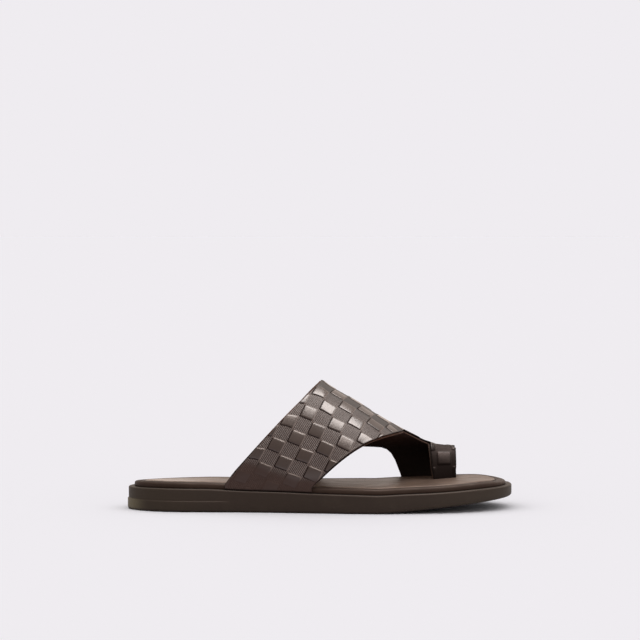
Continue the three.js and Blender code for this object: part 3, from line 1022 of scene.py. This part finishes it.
def make_upper():
    points, faces, places, normals = creased_sheet(1)
    check = check_places(places)
    raised = emboss(points, faces, check)
    shell, shell_faces = layer(
        raised, points - normals * LEATHER_DEPTH, normals, faces, EDGE_BULGE, np.zeros(len(points)))
    marks = {"check": edge_marks(shell, check)}
    leather = add_piece("upper_leather", shell, shell_faces, "upper", marks)
    points, faces, places, normals = creased_sheet(LINING_COARSER)
    beyond = LINING_BEYOND * fade(0.0, PLAIN_FOOT[1], places[:, ABOVE_FOOT])
    inner, inner_faces = layer(
        points - normals * LINING_START, points - normals * WALL, normals, faces, LINING_BULGE, beyond)
    marks = {"check": edge_marks(inner, check_places(places))}
    lining = add_piece("upper_lining", inner, inner_faces, "upper", marks)
    return leather, lining


# Colours, from 8-bit values


def colour(red, green, blue):
    """Linear light from 8-bit display values, by the usual sRGB curve."""
    channels = np.array([red, green, blue]) / 255.0
    linear = np.where(channels <= 0.04045, channels / 12.92, ((channels + 0.055) / 1.055) ** 2.4)
    return (*linear, 1.0)


PAD_LEATHER = colour(51, 37, 32)
HATCH_LEATHER = colour(104, 86, 80)
GROUND_LEATHER = colour(28, 19, 16)
# Painted highlight along the pads' upper right edges
PAD_EDGE_HIGHLIGHT = colour(150, 132, 124)
# Darker tone for the leathers' mottle, and painted shade on the band's plain foot
MOTTLE_AND_FOOT_SHADE = colour(34, 20, 16)
CUT_EDGE = colour(98, 76, 66)
# Painted shade on the loop, at the band's foot and along the pads' lower left edges
SHADED_LEATHER = colour(13, 8, 7)
LINING_LEATHER = colour(96, 52, 28)
# Painted shade low in the lining, also the lining's mottle
LINING_SHADE_AND_MOTTLE = colour(18, 10, 7)
FOOTBED_LEATHER = colour(46, 34, 28)
FOOTBED_WORN = colour(60, 46, 38)
INSOLE_LEATHER = colour(80, 60, 47)
INSOLE_WORN = colour(112, 92, 78)
# Painted highlight in streaks on the heel seat
HEEL_STREAK_HIGHLIGHT = colour(168, 150, 138)
RUBBER = colour(35, 28, 23)
RUBBER_DUST = colour(52, 45, 36)
RUBBER_OLIVE = colour(43, 38, 28)
# Painted highlight on the rounded back of the heel step
HEEL_CAP_HIGHLIGHT = colour(86, 80, 62)
# Painted contact shade along the bottom of the sole
RUBBER_CONTACT_SHADE = colour(16, 13, 10)
SHINE = colour(255, 228, 214)
UPPER_SHINE = colour(252, 243, 238)
# Warmer tint of the reflections in the painted shade and on the plain foot
SHADE_AND_PLAIN_SHINE = colour(255, 220, 208)
MIRRORED = colour(255, 241, 231)
DOME = colour(255, 249, 244)
STAGE = colour(239, 236, 240)

UPPER_ROUGHNESS = 0.52
PAD_ROUGHNESS = 0.3
PAD_COAT = 0.6
HEEL_POLISH = 0.14
LINING_ROUGHNESS = 0.7
FOOTBED_ROUGHNESS = 0.56
INSOLE_ROUGHNESS = 0.46
RUBBER_ROUGHNESS = 0.62
STAGE_ROUGHNESS = 0.95
MOTTLE_ROUGHNESS = 0.06
POLISH_SPREAD = (-0.06, 0.12)

UPPER_SPECULAR = 0.55
SHADED_SPECULAR = 0.45
LINING_SPECULAR = 0.2
SEAT_SPECULAR = (0.22, 0.5)
RUBBER_SPECULAR = 0.35

# Shares in which masks mix a second colour in
UPPER_MOTTLE = 0.25
# Painted shade along the pads' lower left edges, painted highlight along their upper right edges
EDGE_SHADE_SHARE = 0.8
LIT_EDGE = 0.35
LOOP_SHADE = (0.68, 0.97)
LINING_MOTTLE = 0.4
SEAT_MOTTLE = 0.3
PATCH_SHARE = 0.7
DUST_SHARE = 0.25
OLIVE_SHARE = 0.55
CONTACT_SHADE_SHARE = 0.8

# Heights of the fine relief, and where painted shade, painted highlight, wear and tints start and end, in
# millimetres
HATCH_RELIEF = 0.34
PAD_RELIEF = 0.20
UPPER_GRAIN_RELIEF = 0.022
FINE_RELIEF = 0.05
SPECKLE_RELIEF = 0.08
LOOP_SHADE_HEIGHT = (54.0, 26.0)
LINING_SHADE_HEIGHT = (76.0, 40.0)
HEEL_WEAR_AND_HIGHLIGHT_REACH = (-60.0, -120.0)
OLIVE_REACH = (60.0, 142.0)
HEEL_CAP_HIGHLIGHT_REAR = (-128.0, -144.5)
HEEL_CAP_HIGHLIGHT_HEIGHT = (9.5, 7.5)
CONTACT_SHADE_HEIGHT = (2.5, 0.5)

# Noises: scale, detail and roughness, then the values between which each one's mask rises
GRAIN_SCALE, MOTTLE_SCALE = 900.0, 45.0
LINING_GRAIN_SCALE = 1300.0
SEAT_GRAIN_SCALE, SEAT_MOTTLE_SCALE = 1000.0, 38.0
CELL_EDGE = 0.25
FINE_SCALE = 2.2
CELL_SHARE, FINE_SHARE = 0.7, 0.3
NOISE_DETAIL, NOISE_ROUGHNESS = 3.0, 0.55
MOTTLE_DETAIL = (5.0, 0.6)
STREAK_NOISE = (210.0, 4.0, 0.6)
STREAK_STRETCH = (0.16, 1.0, 1.0)
PATCH_NOISE = (24.0, 4.0, 0.6)
SPECKLE_NOISE = (1800.0, 4.0, 0.7)
DUST_NOISE = (60.0, 6.0, 0.65)
MOTTLE_RANGE = (0.32, 0.68)
STREAK_RANGE = (0.42, 0.62)
PATCH_RANGE = (0.35, 0.65)
POLISH_RANGE = (0.35, 0.65)
DUST_RANGE = (0.45, 0.75)

# Sockets of the Mix node that hold colours
MIX_START, MIX_END, MIX_RESULT = 6, 7, 2


def new_material(name):
    material = bpy.data.materials.new(name)
    material.use_nodes = True
    return material, material.node_tree, material.node_tree.nodes["Principled BSDF"]


def object_place(tree):
    return tree.nodes.new("ShaderNodeTexCoord").outputs["Object"]


def noise(tree, place, scale, detail=NOISE_DETAIL, roughness=NOISE_ROUGHNESS):
    node = tree.nodes.new("ShaderNodeTexNoise")
    feed(tree, node.inputs["Vector"], place)
    feed(tree, node.inputs["Scale"], scale)
    node.inputs["Detail"].default_value = detail
    node.inputs["Roughness"].default_value = roughness
    return node.outputs["Fac"]


def cells(tree, place, scale, feature):
    node = tree.nodes.new("ShaderNodeTexVoronoi")
    node.feature = feature
    feed(tree, node.inputs["Vector"], place)
    feed(tree, node.inputs["Scale"], scale)
    return node.outputs["Distance"]


def blend(tree, share, start, end):
    node = tree.nodes.new("ShaderNodeMix")
    node.data_type = "RGBA"
    feed(tree, node.inputs[0], share)
    feed(tree, node.inputs[MIX_START], start)
    feed(tree, node.inputs[MIX_END], end)
    return node.outputs[MIX_RESULT]


def bump(tree, height, distance, strength=1.0):
    node = tree.nodes.new("ShaderNodeBump")
    feed(tree, node.inputs["Height"], height)
    feed(tree, node.inputs["Distance"], distance)
    feed(tree, node.inputs["Strength"], strength)
    return node.outputs["Normal"]


def use_group(tree, group, values):
    node = tree.nodes.new("ShaderNodeGroup")
    node.node_tree = group
    for label, value in values.items():
        feed(tree, node.inputs[label], value)
    return node.outputs


def check_group():
    """Masks of the check: pads and their lean, ground and hatch, pad edges for painted shade and painted
    highlight, plain foot, painted contact shade and cuts.
    """
    group, given, result = new_group("check_masks", "ShaderNodeTree", (
        ("Check", VECTOR, None),
        ("Hatch across", FLOAT, HATCH_ACROSS),
        ("Hatch down", FLOAT, HATCH_DOWN),
    ), (("Pad", FLOAT), ("Tilt", VECTOR), ("Hatch", FLOAT), ("Ground", FLOAT), ("Shaded edge", FLOAT),
        ("Lit edge", FLOAT), ("Plain", FLOAT), ("Contact shade", FLOAT), ("Cut", FLOAT)))
    column, row, plain = split(group, given["Check"])
    cell, within, between = find_cell(group, column, row)
    distance = pad_distance(group, within, between, PAD_HALF, PAD_CORNER)
    cut = ease(group, plain, *CUT_START)
    contact = ease(group, plain, 1.0, 1.0 + CONTACT_SHADE_MARK)
    plain = calculate(group, "MINIMUM", plain, 1.0)
    patterned = minus(group, 1.0, times(group, plain, PLAIN_SHARE))
    pad = times(group, ease(group, distance, 0.0, -PAD_BEVEL), patterned)
    edge = minus(group, ease(group, distance, *PAD_EDGE_RISE), ease(group, distance, *PAD_EDGE_FALL))
    edge = times(group, edge, minus(group, 1.0, plain))
    lower_left = larger(group, times(group, within[0], -1.0), within[1])
    upper_right = larger(group, within[0], times(group, within[1], -1.0))
    ground = times(group, ease(group, distance, *GROUND_START), patterned)
    masks = {
        "Pad": pad,
        "Tilt": pad_tilt(group, cell, within, pad),
        "Hatch": times(group, hatch_lines(group, given, column, row), ground),
        "Ground": ground,
        # Painted shade along each pad's lower left edge, painted highlight along its upper right edge
        "Shaded edge": times(group, ease(group, lower_left, LIT_AND_SHADED_SIDE_START, LIT_AND_SHADED_SIDE_END), edge),
        "Lit edge": times(group, ease(group, upper_right, LIT_AND_SHADED_SIDE_START, LIT_AND_SHADED_SIDE_END), edge),
        "Plain": plain,
        "Contact shade": contact,
        "Cut": cut,
    }
    for label, value in masks.items():
        group.links.new(value, result[label])
    return group


def hatch_lines(group, given, column, row):
    """Fine slanting lines that fade out near the ridge."""
    phase = plus(group, times(group, column, given["Hatch across"]), times(group, row, given["Hatch down"]))
    wave = calculate(group, "SINE", times(group, phase, 2.0 * math.pi))
    from_ridge = calculate(group, "ABSOLUTE", minus(group, row, RIDGE_SMOOTH_ROW))
    return times(group, ease(group, wave, *HATCH_WAVE), ease(group, from_ridge, *RIDGE_SMOOTH))


def pad_tilt(group, cell, within, pad):
    """How each pad's normal leans by chance, and curves over its face, along the shoe and upwards."""
    numbers = group.nodes.new("ShaderNodeCombineXYZ")
    for socket, value in zip(numbers.inputs, (*cell, PAD_CHANCE)):
        feed(group, socket, value)
    chance = group.nodes.new("ShaderNodeTexWhiteNoise")
    group.links.new(numbers.outputs[0], chance.inputs["Vector"])
    way = group.nodes.new("ShaderNodeCombineXYZ")
    shares = split(group, chance.outputs["Color"])
    for socket, share, place, sign in zip((0, 2), shares, within, (-1.0, 1.0)):
        lean = times(group, minus(group, share, 0.5), PAD_LEAN * sign)
        curve = times(group, place, -PAD_PILLOW * sign)
        group.links.new(times(group, plus(group, lean, curve), pad), way.inputs[socket])
    return way.outputs[0]


def grain_group():
    """Leather grain: a height from small cells and pores, and a slow mottle for the colour."""
    group, given, result = new_group("leather_grain", "ShaderNodeTree", (
        ("Place", VECTOR, None),
        ("Grain scale", FLOAT, GRAIN_SCALE),
        ("Mottle scale", FLOAT, MOTTLE_SCALE),
    ), (("Height", FLOAT), ("Mottle", FLOAT)))
    place, scale = given["Place"], given["Grain scale"]
    creases = ease(group, cells(group, place, scale, "DISTANCE_TO_EDGE"), 0.0, CELL_EDGE)
    fine = noise(group, place, times(group, scale, FINE_SCALE))
    height = plus(group, times(group, creases, CELL_SHARE), times(group, fine, FINE_SHARE))
    group.links.new(height, result["Height"])
    mottle = noise(group, place, given["Mottle scale"], *MOTTLE_DETAIL)
    group.links.new(ease(group, mottle, *MOTTLE_RANGE), result["Mottle"])
    return group


def upper_colour(tree, masks, mottle):
    ground = blend(tree, masks["Hatch"], GROUND_LEATHER, HATCH_LEATHER)
    face = blend(tree, masks["Ground"], PAD_LEATHER, ground)
    # On the plain foot the check fades out, and the darker colour there, towards the sole, is painted shade
    face = blend(tree, masks["Plain"], face, MOTTLE_AND_FOOT_SHADE)
    face = blend(tree, times(tree, mottle, UPPER_MOTTLE), face, MOTTLE_AND_FOOT_SHADE)
    # Painted shade along the pads' lower left edges, painted highlight along their upper right edges
    face = blend(tree, times(tree, masks["Shaded edge"], EDGE_SHADE_SHARE), face, SHADED_LEATHER)
    face = blend(tree, times(tree, masks["Lit edge"], LIT_EDGE), face, PAD_EDGE_HIGHLIGHT)
    return blend(tree, masks["Cut"], face, CUT_EDGE)


def upper_shade(tree, place, contact):
    """Painted shade: the loop darkened all over and most towards its foot, and the band's foot darkened
    where it meets the sole.
    """
    sides = split(tree, place)
    on_loop = ease(tree, sides["X"], *metres(LOOP_CHECK_REACH))
    low = ease(tree, sides["Z"], *metres(LOOP_SHADE_HEIGHT), *LOOP_SHADE)
    return larger(tree, times(tree, on_loop, low), contact)


def upper_relief(tree, masks, grain_height):
    """The normal from hatch, grain and pads, on a surface that each pad leans a little."""
    hatch = times(tree, masks["Hatch"], HATCH_RELIEF)
    height = plus(tree, hatch, times(tree, grain_height, UPPER_GRAIN_RELIEF))
    relief = bump(tree, plus(tree, height, times(tree, masks["Pad"], PAD_RELIEF)), MM)
    feed(tree, relief.node.inputs["Normal"], leaned(tree, masks["Tilt"]))
    return relief


def upper_material(check, grain):
    material, tree, principled = new_material("upper_leather")
    inputs = principled.inputs
    masks = use_group(tree, check, {"Check": check_attribute(tree)})
    place = object_place(tree)
    skin = use_group(tree, grain, {"Place": place})
    shade = upper_shade(tree, place, masks["Contact shade"])
    face = upper_colour(tree, masks, skin["Mottle"])
    # Painted shade darkens the loop and the band's foot
    feed(tree, inputs["Base Color"], blend(tree, shade, face, SHADED_LEATHER))
    shade = larger(tree, shade, masks["Shaded edge"])
    smooth = times(tree, masks["Pad"], PAD_ROUGHNESS - UPPER_ROUGHNESS)
    rough = plus(tree, smooth, times(tree, skin["Mottle"], MOTTLE_ROUGHNESS))
    feed(tree, inputs["Roughness"], plus(tree, rough, UPPER_ROUGHNESS))
    coat = times(tree, masks["Pad"], PAD_COAT)
    feed(tree, inputs["Coat Weight"], times(tree, coat, minus(tree, 1.0, shade)))
    inputs["Coat Roughness"].default_value = PAD_ROUGHNESS
    feed(tree, inputs["Normal"], upper_relief(tree, masks, skin["Height"]))
    tint_shine(principled, UPPER_SPECULAR, UPPER_SHINE)
    # Warmer reflections where shade is painted and on the plain foot
    shade_and_plain = larger(tree, shade, masks["Plain"])
    feed(tree, inputs["Specular Tint"], blend(tree, shade_and_plain, UPPER_SHINE, SHADE_AND_PLAIN_SHINE))
    level = minus(tree, UPPER_SPECULAR, times(tree, shade, SHADED_SPECULAR))
    feed(tree, inputs["Specular IOR Level"], level)
    return material


def leaned(tree, tilt):
    """The surface's normal, turned a little by a vector."""
    total = tree.nodes.new("ShaderNodeVectorMath")
    feed(tree, total.inputs[0], tree.nodes.new("ShaderNodeNewGeometry").outputs["Normal"])
    feed(tree, total.inputs[1], tilt)
    even = tree.nodes.new("ShaderNodeVectorMath")
    even.operation = "NORMALIZE"
    feed(tree, even.inputs[0], total.outputs[0])
    return even.outputs[0]


def tint_shine(principled, level, tint):
    """How strongly a surface reflects, and the brown cast that it gives to what it reflects."""
    principled.inputs["Specular IOR Level"].default_value = level
    principled.inputs["Specular Tint"].default_value = tint
    principled.inputs["Coat Tint"].default_value = tint


def lining_material(check, grain):
    material, tree, principled = new_material("lining")
    place = object_place(tree)
    skin = use_group(tree, grain, {"Place": place, "Grain scale": LINING_GRAIN_SCALE})
    # Painted shade: the lining is lighter at the top and darkens towards the bottom of the shoe
    low = ease(tree, split(tree, place)["Z"], *metres(LINING_SHADE_HEIGHT))
    face = blend(tree, low, LINING_LEATHER, LINING_SHADE_AND_MOTTLE)
    face = blend(tree, times(tree, skin["Mottle"], LINING_MOTTLE), face, LINING_SHADE_AND_MOTTLE)
    cut = use_group(tree, check, {"Check": check_attribute(tree)})["Cut"]
    feed(tree, principled.inputs["Base Color"], blend(tree, cut, face, CUT_EDGE))
    feed(tree, principled.inputs["Normal"], bump(tree, skin["Height"], FINE_RELIEF * MM))
    principled.inputs["Roughness"].default_value = LINING_ROUGHNESS
    tint_shine(principled, LINING_SPECULAR, SHINE)
    return material


def check_attribute(tree):
    attribute = tree.nodes.new("ShaderNodeAttribute")
    attribute.attribute_name = "check"
    return attribute.outputs["Vector"]


def stretched_streaks(tree, place):
    """Noise that is drawn out along the shoe."""
    stretch = tree.nodes.new("ShaderNodeVectorMath")
    stretch.operation = "MULTIPLY"
    feed(tree, stretch.inputs[0], place)
    stretch.inputs[1].default_value = STREAK_STRETCH
    return noise(tree, stretch.outputs[0], *STREAK_NOISE)


def seat_material(name, grain, leather, worn_leather, roughness, heel_wear_and_highlight):
    """Leather of the footbed or insole, worn in patches; towards the heel lighter, partly wear and partly
    painted highlight, and streaked with painted highlights.
    """
    material, tree, principled = new_material(name)
    place = object_place(tree)
    scales = {"Grain scale": SEAT_GRAIN_SCALE, "Mottle scale": SEAT_MOTTLE_SCALE}
    skin = use_group(tree, grain, {"Place": place, **scales})
    streak = stretched_streaks(tree, place)
    patches = ease(tree, noise(tree, place, *PATCH_NOISE), *PATCH_RANGE, 0.0, PATCH_SHARE)
    # Towards the heel: lighter colour, partly wear and partly painted highlight, with more polish and shine
    heel = ease(tree, split(tree, place)["X"], *metres(HEEL_WEAR_AND_HIGHLIGHT_REACH), 0.0, heel_wear_and_highlight)
    face = blend(tree, larger(tree, patches, heel), leather, worn_leather)
    # Painted highlight in light streaks on the heel seat
    streak_highlight = times(tree, ease(tree, streak, *STREAK_RANGE), heel)
    face = blend(tree, streak_highlight, face, HEEL_STREAK_HIGHLIGHT)
    face = blend(tree, times(tree, skin["Mottle"], SEAT_MOTTLE), face, MOTTLE_AND_FOOT_SHADE)
    feed(tree, principled.inputs["Base Color"], face)
    polish = ease(tree, streak, *POLISH_RANGE, *[roughness + spread for spread in POLISH_SPREAD])
    polish = minus(tree, polish, times(tree, heel, HEEL_POLISH))
    feed(tree, principled.inputs["Roughness"], polish)
    feed(tree, principled.inputs["Normal"], bump(tree, skin["Height"], FINE_RELIEF * MM))
    tint_shine(principled, mix(*SEAT_SPECULAR, heel_wear_and_highlight), SHINE)
    return material


def rubber_material():
    material, tree, principled = new_material("outsole_rubber")
    place = object_place(tree)
    sides = split(tree, place)
    dust = ease(tree, noise(tree, place, *DUST_NOISE), *DUST_RANGE)
    face = blend(tree, times(tree, dust, DUST_SHARE), RUBBER, RUBBER_DUST)
    from_middle = calculate(tree, "ABSOLUTE", sides["X"])
    olive = ease(tree, from_middle, *metres(OLIVE_REACH), 0.0, OLIVE_SHARE)
    face = blend(tree, olive, face, RUBBER_OLIVE)
    # Painted highlight on the rounded back of the heel step
    rear = ease(tree, sides["X"], *metres(HEEL_CAP_HIGHLIGHT_REAR))
    pale = times(tree, rear, ease(tree, sides["Z"], *metres(HEEL_CAP_HIGHLIGHT_HEIGHT)))
    face = blend(tree, pale, face, HEEL_CAP_HIGHLIGHT)
    # Painted contact shade: the rubber darkens over its lowest few millimetres, by the floor
    low = ease(tree, sides["Z"], *metres(CONTACT_SHADE_HEIGHT), 0.0, CONTACT_SHADE_SHARE)
    feed(tree, principled.inputs["Base Color"], blend(tree, low, face, RUBBER_CONTACT_SHADE))
    speckle = noise(tree, place, *SPECKLE_NOISE)
    feed(tree, principled.inputs["Normal"], bump(tree, speckle, SPECKLE_RELIEF * MM))
    principled.inputs["Roughness"].default_value = RUBBER_ROUGHNESS
    tint_shine(principled, RUBBER_SPECULAR, SHINE)
    return material


def stage_material():
    """A matt floor whose colour makes up for the dome's cast, so that it meets the backdrop."""
    material, _, principled = new_material("stage")
    even = [seen / light * STAGE_GAIN for seen, light in zip(STAGE[:3], DOME)]
    principled.inputs["Base Color"].default_value = (*even, 1.0)
    principled.inputs["Roughness"].default_value = STAGE_ROUGHNESS
    principled.inputs["Specular IOR Level"].default_value = 0.0
    return material


# Stage, light and camera, in metres

STAGE_HALF = 60.0
STAGE_GAIN = 1.045
DOME_OVERHEAD = 0.85
DOME_LEVEL = 0.257
BACKDROP_LEVEL = 0.9
BACKDROP_TOP = 0.9
BACKDROP_SIDE = (-0.1, 0.5)
FRONT_LEVEL = 0.46
FRONT_REACH = (0.25, -0.45)
SOFTBOXES = {
    "name": ("overhead softbox", "side strip"),
    "place": ((0.45, -0.22, 1.25), (1.15, -0.75, 0.85)),
    "turn": ((0.0, 0.0, 0.0), (62.0, 0.0, 59.0)),
    "size": ((1.5, 0.95), (0.30, 0.9)),
    "power": (46.0, 5.0),
}
CAMERA_PLACE = (0.0, -1.9938, 0.2113)
CAMERA_PITCH = 88.0
CAMERA_LENS = 148.6
CAMERA_SENSOR = 36.0
CAMERA_REACH = 400.0


def make_stage():
    corners = [(-STAGE_HALF, -STAGE_HALF, 0.0), (STAGE_HALF, -STAGE_HALF, 0.0),
               (STAGE_HALF, STAGE_HALF, 0.0), (-STAGE_HALF, STAGE_HALF, 0.0)]
    mesh = bpy.data.meshes.new("floor")
    mesh.from_pydata(corners, [], [(0, 1, 2, 3)])
    floor = bpy.data.objects.new("floor", mesh)
    bpy.context.scene.collection.objects.link(floor)
    paint(floor, stage_material())


def make_dome():
    """An even pale backdrop for the camera, and soft light from overhead for everything else."""
    world = bpy.data.worlds.new("studio")
    bpy.context.scene.world = world
    world.use_nodes = True
    tree = world.node_tree
    backdrop = tree.nodes["Background"]
    backdrop.inputs["Color"].default_value = STAGE
    dome = tree.nodes.new("ShaderNodeBackground")
    heading = split(tree, tree.nodes.new("ShaderNodeTexCoord").outputs["Generated"])
    overhead = times(tree, larger(tree, heading["Z"], 0.0), DOME_OVERHEAD)
    path = tree.nodes.new("ShaderNodeLightPath").outputs
    feed(tree, dome.inputs["Color"], blend(tree, path["Is Glossy Ray"], DOME, MIRRORED))
    low = ease(tree, heading["Z"], BACKDROP_TOP, 0.0, 0.0, BACKDROP_LEVEL)
    behind = times(tree, ease(tree, heading["Y"], *BACKDROP_SIDE), low)
    mirrored = times(tree, behind, path["Is Glossy Ray"])
    front = ease(tree, heading["Y"], *FRONT_REACH, 0.0, FRONT_LEVEL)
    front = times(tree, front, path["Is Diffuse Ray"])
    soft = plus(tree, plus(tree, overhead, DOME_LEVEL), front)
    feed(tree, dome.inputs["Strength"], plus(tree, soft, mirrored))
    choose = tree.nodes.new("ShaderNodeMixShader")
    feed(tree, choose.inputs[0], path["Is Camera Ray"])
    feed(tree, choose.inputs[1], dome.outputs[0])
    feed(tree, choose.inputs[2], backdrop.outputs[0])
    feed(tree, tree.nodes["World Output"].inputs["Surface"], choose.outputs[0])


def make_light(pieces):
    """The dome, and softboxes that only the sandal's sheen shows, so that the floor stays even."""
    make_dome()
    lit = bpy.data.collections.new("lit by the softboxes")
    for piece in pieces:
        lit.objects.link(piece)
    for name, place, turn, size, power in zip(*SOFTBOXES.values()):
        light = bpy.data.lights.new(name, "AREA")
        light.shape = "RECTANGLE"
        light.size, light.size_y = size
        light.energy = power
        softbox = bpy.data.objects.new(name, light)
        softbox.location = place
        softbox.rotation_euler = [math.radians(angle) for angle in turn]
        softbox.visible_diffuse = False
        softbox.light_linking.receiver_collection = lit
        bpy.context.scene.collection.objects.link(softbox)
    bpy.context.scene.view_settings.view_transform = "Standard"


def make_camera():
    lens = bpy.data.cameras.new("camera")
    lens.lens = CAMERA_LENS
    lens.sensor_width = CAMERA_SENSOR
    lens.clip_end = CAMERA_REACH
    camera = bpy.data.objects.new("camera", lens)
    camera.location = CAMERA_PLACE
    camera.rotation_euler = (math.radians(CAMERA_PITCH), 0.0, 0.0)
    bpy.context.scene.collection.objects.link(camera)
    bpy.context.scene.camera = camera


def paint(piece, material):
    piece.data.materials.clear()
    piece.data.materials.append(material)


def build():
    grain = grain_group()
    leather, lining = make_upper()
    check = check_group()
    paint(leather, upper_material(check, grain))
    paint(lining, lining_material(check, grain))
    rubber = rubber_material()
    outsole = make_outsole()
    run_nodes(outsole, tread_group(), {
        "Pitch": GROOVE_PITCH * MM, "Width": GROOVE_WIDTH * MM, "Depth": GROOVE_DEPTH * MM,
    }, rubber)
    paint(outsole, rubber)
    footbed = make_footbed()
    paint(footbed, seat_material(
        "footbed_leather", grain, FOOTBED_LEATHER, FOOTBED_WORN, FOOTBED_ROUGHNESS, 0.0))
    insole = make_insole()
    paint(insole, seat_material(
        "insole_leather", grain, INSOLE_LEATHER, INSOLE_WORN, INSOLE_ROUGHNESS, 1.0))
    make_stage()
    make_light((leather, lining, outsole, footbed, insole))
    make_camera()


build()
